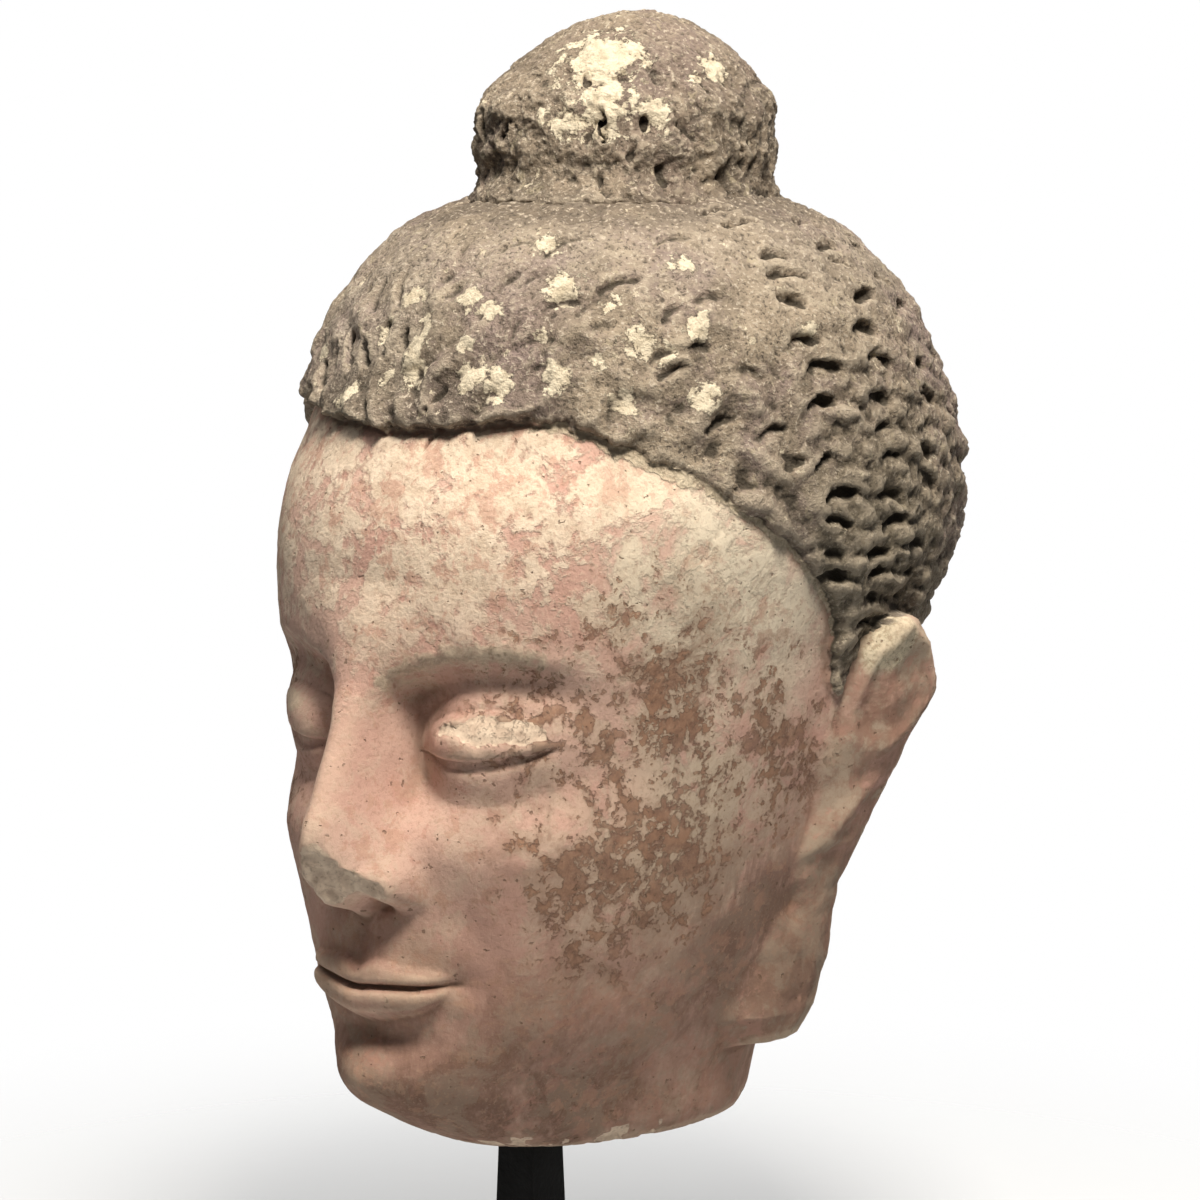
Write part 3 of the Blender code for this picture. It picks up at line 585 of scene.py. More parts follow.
class Marks:
    """Marks to be cut into a surface: where each is, how it lies, its length, width and depth."""

    def __init__(self, mesh):
        corners = [face.vertices for face in mesh.polygons]
        self.tree = BVHTree.FromPolygons([point.co for point in mesh.vertices], corners)
        self.chance = np.random.default_rng(SEED)
        self.made = []

    def add(self, start, way, along, upper, size, slant):
        """A mark where a line from start meets the surface, steep on its upper side; size in parts."""
        hit, normal = self.tree.ray_cast(start, way)[:2]
        run = (along - normal * along.dot(normal)).normalized()
        lying = Matrix((run, normal.cross(run), normal)).transposed()
        turned = lying @ Matrix.Rotation(math.radians(slant), 3, "Z")
        steep = turned.col[1] if turned.col[1].dot(upper) > 0 else -turned.col[1]
        self.made.append((hit, turned.to_euler(), steep, *(PART * value for value in size)))

    def on_hair(self, turn, ring, size, slant, margin=5.0):
        """A mark along the locks at a turn and a ring, unless the face, an ear or the topknot is there."""
        t, r = math.radians(turn), math.radians(ring)
        way = Vector((math.sin(r) * math.sin(t), -math.cos(r), math.sin(r) * math.cos(t)))
        back = Vector((math.cos(r) * math.sin(t), math.sin(r), math.cos(r) * math.cos(t)))
        start = SEAT + Vector((0, 0, CROWN_POLE * PART)) + way * 0.02
        part = (self.tree.ray_cast(start, way)[0] - SEAT) / PART
        on_knot = part.z > 238 and math.hypot(part.x, part.y - KNOT_MIDDLE) < KNOT_HALF + 6
        if part.z > hairline_height(math.atan2(part.x, -part.y)) + margin and not on_knot:
            upper = Vector((-math.copysign(0.6, part.x), 0, 1))
            self.add(start, way, back, upper, size, slant)

    def comb_locks(self):
        """A row of nicks along the locks at each ring, one between two locks."""
        for row, ring in enumerate(RINGS[2:]):
            for lock in range(0, round(360 / LOCK_PITCH), 1 + (ring > JOINING_RING)):
                turn = (FIRST_LOCK + lock * LOCK_PITCH + 180) % 360 - 180
                spread = self.chance.normal(size=6)
                missing = 0.05 + 0.35 * (abs(turn) < 26) + 0.05 * row
                if self.chance.random() > missing:
                    length = (9.0 - 0.5 * row) * (1 + 0.18 * spread[2])
                    width = 2.1 * (1 + 0.22 * spread[3])
                    depth = (2.2 + 0.9 * min(1, abs(turn) / 75)) * (1 - 0.11 * row) * (1 + 0.2 * spread[4])
                    place = turn + 0.6 * spread[0], ring + 1.2 * spread[1]
                    self.on_hair(*place, (length, width, depth), 14 * spread[5] - 6)

    def nick_forehead_hair(self):
        """The single nicks of the worn hair, shallow ones in loose rows over it, and its cracks."""
        for turn, ring, length, depth in FRONT_NICKS:
            self.on_hair(turn, ring, (length, 1.9, depth), 8 * self.chance.normal())
        for ring in (46, 53, 60, 67, 74):
            for turn in range(-44, 76, 6):
                spread = self.chance.normal(size=5)
                if self.chance.random() > 0.35:
                    place = turn + 1.6 * spread[0], ring + 1.8 * spread[1]
                    size = 8 * (1 + 0.25 * spread[2]), 1.8, max(0.35, 0.8 + 0.4 * spread[3])
                    self.on_hair(*place, size, 12 * spread[4] - 18)
        for turn, ring, length, width, depth, slant in CRACKS:
            self.on_hair(turn, ring, (length, width, depth), slant, -40)

    def scratch_skin(self):
        """The cracks of the forehead and the temple, and the temple's scratches."""
        for place, along, size in SKIN_MARKS:
            start = SEAT + UP * place[2] * PART
            way = Vector((place[0], place[1], 0)).normalized()
            self.add(start, way, Vector(along), UP, size, 0)

    def dig_topknot(self):
        """Upright pits in uneven rows round the topknot."""
        for height, count, length, depth in ((268, 25, 8.5, 2.8), (256, 19, 6, 2.0), (281, 15, 5, 1.0)):
            for step in range(count):
                spread = self.chance.normal(size=5)
                turn = 2 * math.pi * (step + 0.25 * spread[0]) / count
                if self.chance.random() > 0.28:
                    way = Vector((math.sin(turn), -math.cos(turn), 0))
                    start = SEAT + Vector((0, KNOT_MIDDLE, height + 2.4 * spread[1])) * PART
                    size = length * (1 + 0.2 * spread[4]), 1.8, depth * (1 + 0.3 * spread[3])
                    self.add(start, way, UP, way.cross(UP), size, 18 * spread[2])

    def slit_nose(self):
        """The dark slit beside the broken nose."""
        start = SEAT + Vector((-6.5, -150, NOSE_BASE + 23)) * PART
        self.add(start, Vector((0, 1, 0)), UP, Vector((1, 0, 0)), (15, 1.9, 2.8), 4)

    def as_object(self):
        """The marks as loose points that carry the size and the direction of each."""
        mesh = bpy.data.meshes.new("tool_marks")
        mesh.from_pydata([mark[0] for mark in self.made], [], [])
        for name, place in (("turned", 1), ("steep", 2)):
            layer = mesh.attributes.new(name, "FLOAT_VECTOR", "POINT")
            layer.data.foreach_set("vector", [value for mark in self.made for value in mark[place]])
        for name, place in (("long", 3), ("wide", 4), ("deep", 5)):
            layer = mesh.attributes.new(name, "FLOAT", "POINT")
            layer.data.foreach_set("value", [mark[place] for mark in self.made])
        made = bpy.data.objects.new("tool_marks", mesh)
        bpy.context.scene.collection.objects.link(made)
        return made


class Tree:
    """A Geometry Nodes tree in the making."""

    def __init__(self, name):
        self.tree = bpy.data.node_groups.new(name, "GeometryNodeTree")
        self.inputs = self.tree.nodes.new("NodeGroupInput")
        self.keys = {}

    def input(self, name, kind, value=None):
        """A named input of the tree, and its socket."""
        made = self.tree.interface.new_socket(name, in_out="INPUT", socket_type=kind)
        if value is not None:
            made.default_value = value
        self.keys[name] = made.identifier
        return self.inputs.outputs[name]

    def add(self, kind, settings, sockets, output=0):
        """A new node with its settings and sockets, and one of its outputs."""
        node = self.tree.nodes.new(kind)
        for name, value in settings.items():
            setattr(node, name, value)
        for name, value in sockets.items():
            if isinstance(value, bpy.types.NodeSocket):
                self.tree.links.new(value, node.inputs[name])
            else:
                node.inputs[name].default_value = value
        return node.outputs[output]

    def close(self, geometry):
        self.tree.interface.new_socket("Geometry", in_out="OUTPUT", socket_type="NodeSocketGeometry")
        self.tree.links.new(geometry, self.tree.nodes.new("NodeGroupOutput").inputs[0])


def cutting_tree():
    """Cuts a curved stroke into a surface at each mark, and notes how hollow each place has become."""
    tree = Tree("cut_tool_marks")
    surface = tree.input("Geometry", "NodeSocketGeometry")
    marks = tree.input("Marks", "NodeSocketObject")
    bend = tree.input("Stroke Bend", "NodeSocketFloat", 0.2)
    depth = tree.input("Depth Share", "NodeSocketFloat", 1.0)
    rag = tree.input("Ragged Edge", "NodeSocketFloat", 2.1)
    rounds = tree.input("Hollow Rounds", "NodeSocketInt", 10)
    finish = tree.input("Finish", "NodeSocketMaterial")

    points = tree.add("GeometryNodeObjectInfo", {}, {"Object": marks}, "Geometry")
    middle = tree.add("ShaderNodeCombineXYZ", {}, {"Y": bend})
    stroke = tree.add(
        "GeometryNodeCurveQuadraticBezier", {},
        {"Resolution": 7, "Start": (-0.5, 0, 0), "Middle": middle, "End": (0.5, 0, 0)},
    )
    turned = tree.add("GeometryNodeInputNamedAttribute", {"data_type": "FLOAT_VECTOR"}, {"Name": "turned"})
    length = tree.add("GeometryNodeInputNamedAttribute", {"data_type": "FLOAT"}, {"Name": "long"})
    rotation = tree.add("FunctionNodeEulerToRotation", {}, {"Euler": turned})
    placed = tree.add(
        "GeometryNodeInstanceOnPoints", {},
        {"Points": points, "Instance": stroke, "Rotation": rotation, "Scale": length},
    )
    curves = tree.add("GeometryNodeRealizeInstances", {}, {"Geometry": placed})
    strokes = tree.add("GeometryNodeCurveToMesh", {}, {"Curve": curves})
    place = tree.add("GeometryNodeInputPosition", {}, {})
    reached = tree.add("GeometryNodeProximity", {"target_element": "EDGES"}, {"Target": strokes}, "Position")
    nearest = tree.add("GeometryNodeSampleNearest", {"domain": "POINT"}, {"Geometry": strokes})
    near = {}
    for name, kind in (("wide", "FLOAT"), ("deep", "FLOAT"), ("steep", "FLOAT_VECTOR")):
        layer = tree.add("GeometryNodeInputNamedAttribute", {"data_type": kind}, {"Name": name})
        near[name] = tree.add(
            "GeometryNodeSampleIndex", {"data_type": kind},
            {"Geometry": strokes, "Value": layer, "Index": nearest},
        )

    def maths(operation, first, second):
        return tree.add("ShaderNodeMath", {"operation": operation}, {0: first, 1: second})

    off = tree.add("ShaderNodeVectorMath", {"operation": "SUBTRACT"}, {0: place, 1: reached})
    away = tree.add("ShaderNodeVectorMath", {"operation": "LENGTH"}, {0: off}, "Value")
    side = tree.add("ShaderNodeVectorMath", {"operation": "DOT_PRODUCT"}, {0: off, 1: near["steep"]}, "Value")
    side = maths("DIVIDE", side, near["wide"])
    spread = tree.add(
        "ShaderNodeMapRange", {"interpolation_type": "SMOOTHSTEP"},
        {"Value": side, "From Min": -0.5, "From Max": 0.3, "To Min": 1.45, "To Max": 0.72},
    )
    ragged = tree.add("ShaderNodeTexNoise", {}, {"Vector": place, "Scale": 380.0, "Detail": 3.0})
    ragged = maths("MULTIPLY", maths("SUBTRACT", ragged, 0.5), rag)
    reach = maths("MULTIPLY", near["wide"], maths("ADD", spread, ragged))
    profile = tree.add(
        "ShaderNodeMapRange", {"interpolation_type": "SMOOTHSTEP"},
        {"Value": away, "From Min": reach, "From Max": 0.0, "To Min": 0.0, "To Max": 1.0},
    )
    amount = maths("MULTIPLY", maths("MULTIPLY", profile, near["deep"]), maths("MULTIPLY", depth, -1.0))
    normal = tree.add("GeometryNodeInputNormal", {}, {})
    sunk = tree.add("ShaderNodeVectorMath", {"operation": "SCALE"}, {0: normal, "Scale": amount})
    cut = tree.add("GeometryNodeSetPosition", {}, {"Geometry": surface, "Offset": sunk})

    blurred = tree.add(
        "GeometryNodeBlurAttribute", {"data_type": "FLOAT_VECTOR"}, {"Value": place, "Iterations": rounds}
    )
    lower = tree.add("ShaderNodeVectorMath", {"operation": "SUBTRACT"}, {0: blurred, 1: place})
    hollow = tree.add("ShaderNodeVectorMath", {"operation": "DOT_PRODUCT"}, {0: lower, 1: normal}, "Value")
    hollow = tree.add("ShaderNodeMath", {"operation": "MULTIPLY"}, {0: hollow, 1: 1000.0})
    noted = tree.add(
        "GeometryNodeStoreNamedAttribute", {"data_type": "FLOAT", "domain": "POINT"},
        {"Geometry": cut, "Name": "hollow", "Value": hollow},
    )
    whole = tree.add("GeometryNodeRealizeInstances", {}, {"Geometry": noted})
    tree.close(tree.add("GeometryNodeSetMaterial", {}, {"Geometry": whole, "Material": finish}))
    return tree


def settled(thing, name):
    """A plain mesh of what an object's modifiers make of it."""
    graph = bpy.context.evaluated_depsgraph_get()
    made = bpy.data.meshes.new_from_object(thing.evaluated_get(graph), depsgraph=graph)
    made.name = name
    return made


def make_head(finish):
    """The carved head in its finish, thinned to the triangles that its detail needs."""
    mesh, layers = head_surface()
    cuts = Marks(mesh)
    cuts.comb_locks()
    cuts.nick_forehead_hair()
    cuts.scratch_skin()
    cuts.dig_topknot()
    cuts.slit_nose()
    marks = cuts.as_object()
    for name, values in layers.items():
        layer = mesh.attributes.new(name, "FLOAT", "POINT")
        layer.data.foreach_set("value", values.astype(np.float32))
    head = bpy.data.objects.new("head_surface", mesh)
    bpy.context.scene.collection.objects.link(head)
    tree = cutting_tree()
    cutting = head.modifiers.new("tool marks", "NODES")
    cutting.node_group = tree.tree
    cutting[tree.keys["Marks"]] = marks
    cutting[tree.keys["Finish"]] = finish
    head.data = settled(head, "head_cut")
    head.modifiers.clear()
    thinning = head.modifiers.new("thinning", "DECIMATE")
    triangles = sum(len(face.vertices) - 2 for face in head.data.polygons)
    thinning.ratio = HEAD_TRIANGLES / triangles
    head.data = settled(head, "painted_head")
    head.modifiers.clear()
    work = bmesh.new()
    work.from_mesh(head.data)
    bmesh.ops.recalc_face_normals(work, faces=work.faces)
    work.to_mesh(head.data)
    work.free()
    head.data.shade_smooth()
    bpy.data.objects.remove(marks)
    return head


class Value:
    """A socket inside a finish, on which Python's operators add Math nodes."""

    def __init__(self, finish, socket):
        self.finish = finish
        self.socket = socket

    def math(self, operation, first, second):
        return self.finish.add("ShaderNodeMath", {"operation": operation}, {0: first, 1: second})

    def __add__(self, other):
        return self.math("ADD", self, other)

    def __radd__(self, other):
        return self.math("ADD", other, self)

    def __sub__(self, other):
        return self.math("SUBTRACT", self, other)

    def __rsub__(self, other):
        return self.math("SUBTRACT", other, self)

    def __mul__(self, other):
        return self.math("MULTIPLY", self, other)

    def __rmul__(self, other):
        return self.math("MULTIPLY", other, self)


class Finish:
    """A material in the making."""

    def __init__(self, name):
        self.material = bpy.data.materials.new(name)
        self.material.use_nodes = True
        self.tree = self.material.node_tree
        self.shader = self.tree.nodes["Principled BSDF"]
        self.place = self.add("ShaderNodeTexCoord", {}, {}, "Object")

    def add(self, kind, settings, sockets, output=0):
        """A new node with its settings and sockets, and one of its outputs."""
        node = self.tree.nodes.new(kind)
        for name, value in settings.items():
            setattr(node, name, value)
        for name, value in sockets.items():
            self.join(value, node.inputs[name])
        return Value(self, node.outputs[output])

    def join(self, value, socket):
        if isinstance(value, Value):
            self.tree.links.new(value.socket, socket)
        else:
            socket.default_value = value

    def layer(self, name):
        """The values of a layer of the mesh."""
        return self.add("ShaderNodeAttribute", {"attribute_name": name}, {}, "Fac")

    def noise(self, size, detail, roughness, distortion=0.0, place=None):
        """Noise with features of a size in metres."""
        return self.add(
            "ShaderNodeTexNoise", {},
            {"Vector": place or self.place, "Scale": 1 / size, "Detail": detail, "Roughness": roughness,
             "Distortion": distortion},
        )

    def step(self, value, low, high):
        """0 to 1 as the value goes from low to high."""
        return self.add(
            "ShaderNodeMapRange", {"interpolation_type": "SMOOTHSTEP"},
            {"Value": value, "From Min": low, "From Max": high},
        )

    def mix(self, share, first, second):
        """The first colour, with a share of the second over it."""
        return self.add("ShaderNodeMix", {"data_type": "RGBA"}, {0: share, 6: first, 7: second}, 2)

    def coats(self, under, *over):
        """A colour under coats laid one after another, each a share and a colour."""
        for share, tone in over:
            under = self.mix(share, under, tone)
        return under

    def most(self, first, second):
        return self.add("ShaderNodeMath", {"operation": "MAXIMUM"}, {0: first, 1: second})

    def set(self, **sockets):
        """Values for the shader, with words for the sockets' names."""
        for name, value in sockets.items():
            self.join(value, self.shader.inputs[name.replace("_", " ").title().replace("Ior", "IOR")])

    def bump(self, height, distance):
        """Relief of a height in distances of some metres, under everything."""
        node = self.tree.nodes.new("ShaderNodeBump")
        self.join(height, node.inputs["Height"])
        node.inputs["Distance"].default_value = distance
        node.inputs["Strength"].default_value = 1.0
        self.tree.links.new(node.outputs["Normal"], self.shader.inputs["Normal"])


def colour(red, green, blue):
    return (red, green, blue, 1)


def near(finish, x, y, z, radius):
    """1 at a place on the head in parts, falling to 0 at a radius."""
    middle = SEAT + Vector((x, y, z)) * PART
    away = finish.add(
        "ShaderNodeVectorMath", {"operation": "DISTANCE"}, {0: finish.place, 1: tuple(middle)}, "Value"
    )
    return finish.step(away, radius * PART, 0.15 * radius * PART)


def paint_noises(clay):
    """The noises that the coats share, from broad clouds down to grain, and last the brush's strokes."""
    brushed = clay.add(
        "ShaderNodeMapping", {}, {"Vector": clay.place, "Rotation": (0.5, 0.6, 0.3), "Scale": (1, 1, 0.22)}
    )
    return (
        clay.noise(0.045, 5, 0.55, 0.4),
        clay.noise(0.024, 6, 0.60, 0.6),
        clay.noise(0.0130, 10, 0.70, 0.5),
        clay.noise(0.0058, 9, 0.68, 0.3),
        clay.noise(0.0034, 7, 0.68),
        clay.noise(0.0013, 5, 0.65),
        clay.noise(0.0022, 5, 0.6, 0.3, brushed),
    )


def face_paint(clay, noises, low, high):
    """Pink paint with chalky, beige and rosy parts, and painted shade below; also how gritty and how thick it
    is.
    """
    broad, cloudy, patchy, flaky, small, _, strokes = noises
    beside = clay.most(near(clay, 72, -42, 150, 50), near(clay, 70, -46, 92, 60))
    beside = clay.most(beside, 0.8 * near(clay, -70, -40, 120, 66))
    pink = clay.mix(clay.step(broad, 0.36, 0.62), colour(0.57, 0.345, 0.275), colour(0.63, 0.425, 0.338))
    rosy = clay.mix(clay.step(small, 0.40, 0.60), colour(0.52, 0.280, 0.22), colour(0.67, 0.40, 0.322))
    beige = clay.mix(clay.step(strokes, 0.30, 0.70), colour(0.55, 0.470, 0.345), colour(0.64, 0.555, 0.415))
    chalk = clay.mix(clay.step(small, 0.36, 0.62), colour(0.62, 0.485, 0.358), colour(0.78, 0.655, 0.508))
    # Painted shade: a dark brown for the lower face and the chin.
    shade_colour_below = clay.mix(clay.step(patchy, 0.4, 0.6), colour(0.24, 0.135, 0.090), colour(0.37, 0.228, 0.160))
    # Chalky cream patches. Their share grows high up, so on the forehead they are partly painted light.
    chalky = clay.step(0.55 * patchy + 0.3 * cloudy + 0.25 * small + 0.05 * high, 0.545, 0.60)
    washed = clay.step(0.7 * patchy + 0.5 * cloudy + 0.12 * beside + 0.03 * low, 0.60, 0.68)
    rubbed = clay.step(0.6 * flaky + 0.3 * cloudy + 0.2 * strokes, 0.575, 0.62)
    # Painted shade over the lower face, in patches, strongest at the bottom.
    shade_below = low * (0.55 + 0.40 * clay.step(cloudy + 0.3 * (strokes - 0.5), 0.40, 0.60))
    gritty = 0.24 + 0.16 * high - 0.14 * washed * beside
    thick = 0.16 * chalky * high
    skin = clay.coats(
        pink,
        (chalky * (0.12 + 0.80 * high), chalk),
        (washed * (0.20 + 0.58 * beside), beige),
        (0.55 * rubbed, rosy),
        (shade_below, shade_colour_below),
    )
    return skin, gritty, thick


def stained_paint(clay, noises, low, skin):
    """Brown losses on the cheeks, a pale temple that is partly painted light, and painted shade on the jaw
    and the chin; also where the losses are.
    """
    broad, cloudy, patchy, flaky, small, grain, strokes = noises
    cheek = clay.most(near(clay, 60, -60, 118, 56), near(clay, 62, -58, 84, 52))
    cheek = clay.most(cheek, near(clay, 78, -22, 104, 44))
    cheek = clay.most(cheek, 0.8 * near(clay, 62, -62, 142, 34))
    cheek = cheek * (1 - 0.95 * near(clay, 80, -28, 164, 36))
    cheek = clay.most(cheek, 0.7 * near(clay, -62, -56, 100, 64))
    brown = clay.mix(clay.step(small + 0.5 * (patchy - 0.5), 0.38, 0.68), colour(0.135, 0.072, 0.048),
                     colour(0.33, 0.188, 0.12))
    bruised = clay.step(cloudy + 0.35 * (patchy - 0.5) + 0.22 * cheek, 0.60, 0.76)
    bruised = bruised * clay.step(cheek, 0.0, 0.5)
    # A pale sage wash on the temple, made paler as painted light.
    temple = near(clay, 77, -28, 158, 58) * clay.step(patchy, 0.34, 0.54)
    under_eye = near(clay, 54, -64, 99, 24) * clay.step(patchy, 0.42, 0.54)
    # Painted shade on the jaw and under the chin, in patches.
    jaw_and_chin_shade = clay.most(near(clay, 64, -10, 55, 52), near(clay, 28, -64, 2, 54))
    jaw_and_chin_shade = clay.most(jaw_and_chin_shade, near(clay, 10, -85, 6, 50))
    jaw_and_chin_shade = jaw_and_chin_shade * clay.step(cloudy + 0.4 * (strokes - 0.5), 0.28, 0.52)
    dusty = clay.step(0.6 * patchy + 0.5 * cloudy + 0.2 * strokes, 0.625, 0.70)
    flushed = clay.step(0.5 * flaky + 0.4 * broad + 0.2 * patchy, 0.56, 0.61)
    blurred = clay.most(near(clay, 67, -52, 137, 25), 0.7 * near(clay, 44, -78, 92, 24))
    blurred = blurred * clay.step(cloudy + 0.5 * (flaky - 0.5), 0.34, 0.56)
    crumbly = 0.52 * flaky + 0.34 * small + 0.20 * grain + 0.26 * (cloudy - 0.5) + 0.085 * cheek
    stained = clay.step(crumbly, 0.604, 0.634) * clay.step(cheek, 0.0, 0.35)
    faint = clay.step(crumbly, 0.555, 0.60) * (1 - 0.5 * clay.step(cheek, 0.0, 0.4))
    skin = clay.coats(
        skin,
        (bruised * (0.14 + 0.46 * clay.step(flaky, 0.42, 0.58)), brown),
        (0.75 * temple, colour(0.84, 0.745, 0.58)),
        (0.5 * under_eye, colour(0.66, 0.425, 0.33)),
        (0.78 * jaw_and_chin_shade, colour(0.180, 0.105, 0.076)),
        (0.36 * low * dusty, colour(0.38, 0.300, 0.225)),
        (0.50 * low * flushed, colour(0.43, 0.225, 0.170)),
        (0.68 * blurred, colour(0.20, 0.122, 0.082)),
        (stained * (0.66 + 0.32 * clay.step(patchy, 0.4, 0.6)), brown),
        (0.40 * faint, colour(0.42, 0.25, 0.165)),
    )
    return skin, stained


def ear_paint(clay, noises, ear, skin):
    """Dusty and rosy paint on the ears, painted shade in the hollow and round the lobe, darker paint low on
    the ear, and a pale rim that is painted highlight.
    """
    broad, cloudy, patchy, flaky, small, grain, strokes = noises
    dusty = clay.mix(clay.step(patchy + 0.6 * (cloudy - 0.5) + 0.3 * (strokes - 0.5), 0.42, 0.60),
                     colour(0.30, 0.180, 0.125), colour(0.43, 0.345, 0.255))
    pale = clay.mix(clay.step(grain, 0.4, 0.6), colour(0.50, 0.43, 0.30), colour(0.72, 0.63, 0.46))
    # Painted shade round the lobe and its hole.
    lobe = clay.most(near(clay, 68, 0, 60, 12), near(clay, 70, 2, 42, 12))
    # Painted highlight: pale paint on the ear's upper rim.
    rim = near(clay, 86, 18, 134, 17) * ear
    return clay.coats(
        skin,
        (0.80 * ear * clay.step(patchy + 0.4 * (cloudy - 0.5), 0.30, 0.52), dusty),
        (0.6 * ear * clay.step(0.7 * flaky + 0.5 * broad, 0.61, 0.67), colour(0.50, 0.285, 0.22)),
        # Painted shade in the ear's hollow, then round the lobe; then darker paint over the ear's lower part.
        (0.65 * near(clay, 79, 23, 112, 19) * clay.step(flaky, 0.40, 0.56), colour(0.25, 0.145, 0.10)),
        (0.6 * lobe, colour(0.20, 0.130, 0.092)),
        (0.55 * near(clay, 66, 6, 50, 38) * ear, colour(0.20, 0.13, 0.095)),
        (0.9 * clay.step(rim + 0.5 * (small - 0.5), 0.25, 0.6), pale),
    )


def hair_paint(clay, noises, height, hollow):
    """Dark crumbly paint, worn on the crown, with painted light and shade, and pale flakes; also where they
    are.
    """
    broad, cloudy, patchy, flaky, small, grain, _ = noises
    dark = clay.mix(clay.step(cloudy, 0.38, 0.62), colour(0.235, 0.190, 0.138), colour(0.375, 0.305, 0.222))
    # Lighter paint on the crown and over the front of the far side: wear, and partly painted light where the
    # top of the head is lit.
    worn = clay.most(0.7 * clay.step(height, 0.212, 0.240), 1.3 * near(clay, -26, -66, 222, 46))
    worn = worn * clay.step(height, 0.248, 0.240)
    on_top = clay.step(height, 0.246, 0.252)
    craggy = on_top * clay.step(height, 0.286, 0.270)
    craggy = craggy * clay.step(0.6 * flaky + 0.4 * patchy + 0.25 * (small - 0.5), 0.475, 0.56)
    # Painted shade: darker hair over and round the near ear, with fewer specks there.
    under = near(clay, 84, 6, 152, 62)
    # Painted shade in the crease under the topknot's overhang, and along the front edge of the hair, in
    # patches.
    crease = clay.step(height, 0.2405, 0.2455) * clay.step(height, 0.254, 0.249)
    fringe = clay.most(near(clay, 15, -83, 195, 30), near(clay, -22, -84, 197, 28))
    fringe = clay.most(fringe, 0.6 * near(clay, 40, -76, 193, 22))
    knot_and_fringe_shade = clay.most(0.62 * crease, 0.72 * fringe) * clay.step(patchy + 0.5 * (cloudy - 0.5), 0.28, 0.54)
    speckle = 0.84 - 0.34 * under
    cream = clay.mix(clay.step(small, 0.36, 0.6), colour(0.54, 0.460, 0.330), colour(0.74, 0.655, 0.495))
    cream = clay.mix(0.5 * clay.step(grain, 0.46, 0.36), cream, colour(0.36, 0.30, 0.21))
    ragged = 2.1 * (flaky - 0.5) + 1.5 * (small - 0.5) + 0.7 * (grain - 0.5)
    flakes = clay.step(clay.layer("pale") + ragged, 0.36, 0.46)
    stray = clay.step(clay.noise(0.0038, 7, 0.62) + 0.25 * (cloudy - 0.5), 0.640, 0.668)
    dark = clay.coats(
        dark,
        (0.7 * clay.step(broad, 0.50, 0.64), colour(0.255, 0.190, 0.165)),
        (0.5 * clay.step(flaky + 0.4 * (broad - 0.5), 0.50, 0.62), colour(0.270, 0.205, 0.190)),
        (worn * (0.15 + 0.4 * clay.step(patchy, 0.42, 0.6)), colour(0.455, 0.390, 0.320)),
        (0.35 * on_top, colour(0.155, 0.118, 0.085)),
        (0.62 * craggy, colour(0.090, 0.075, 0.058)),
        (0.55 * under, colour(0.140, 0.125, 0.085)),
        (0.6 * clay.step(patchy, 0.54, 0.64), colour(0.42, 0.352, 0.262)),
        (0.6 * clay.step(small, 0.46, 0.34), colour(0.120, 0.096, 0.070)),
        (0.5 * clay.step(flaky, 0.56, 0.66), colour(0.47, 0.405, 0.265)),
        (0.55 * clay.step(small, 0.55, 0.68), colour(0.50, 0.43, 0.325)),
        (knot_and_fringe_shade, colour(0.105, 0.083, 0.066)),
        (speckle * clay.step(grain, 0.55, 0.65), colour(0.56, 0.485, 0.385)),
        (speckle * clay.step(grain, 0.45, 0.35), colour(0.075, 0.061, 0.048)),
        # Painted highlight on the hair's ridges, and painted shade in its pits and hollows.
        (0.45 * clay.step(hollow, -0.08, -0.55), colour(0.54, 0.46, 0.35)),
        (0.86 * clay.step(hollow, 0.08, 0.70), colour(0.052, 0.043, 0.031)),
        (clay.most(flakes, 0.8 * stray) * clay.step(hollow, 0.6, 0.2), cream),
    )
    return dark, flakes


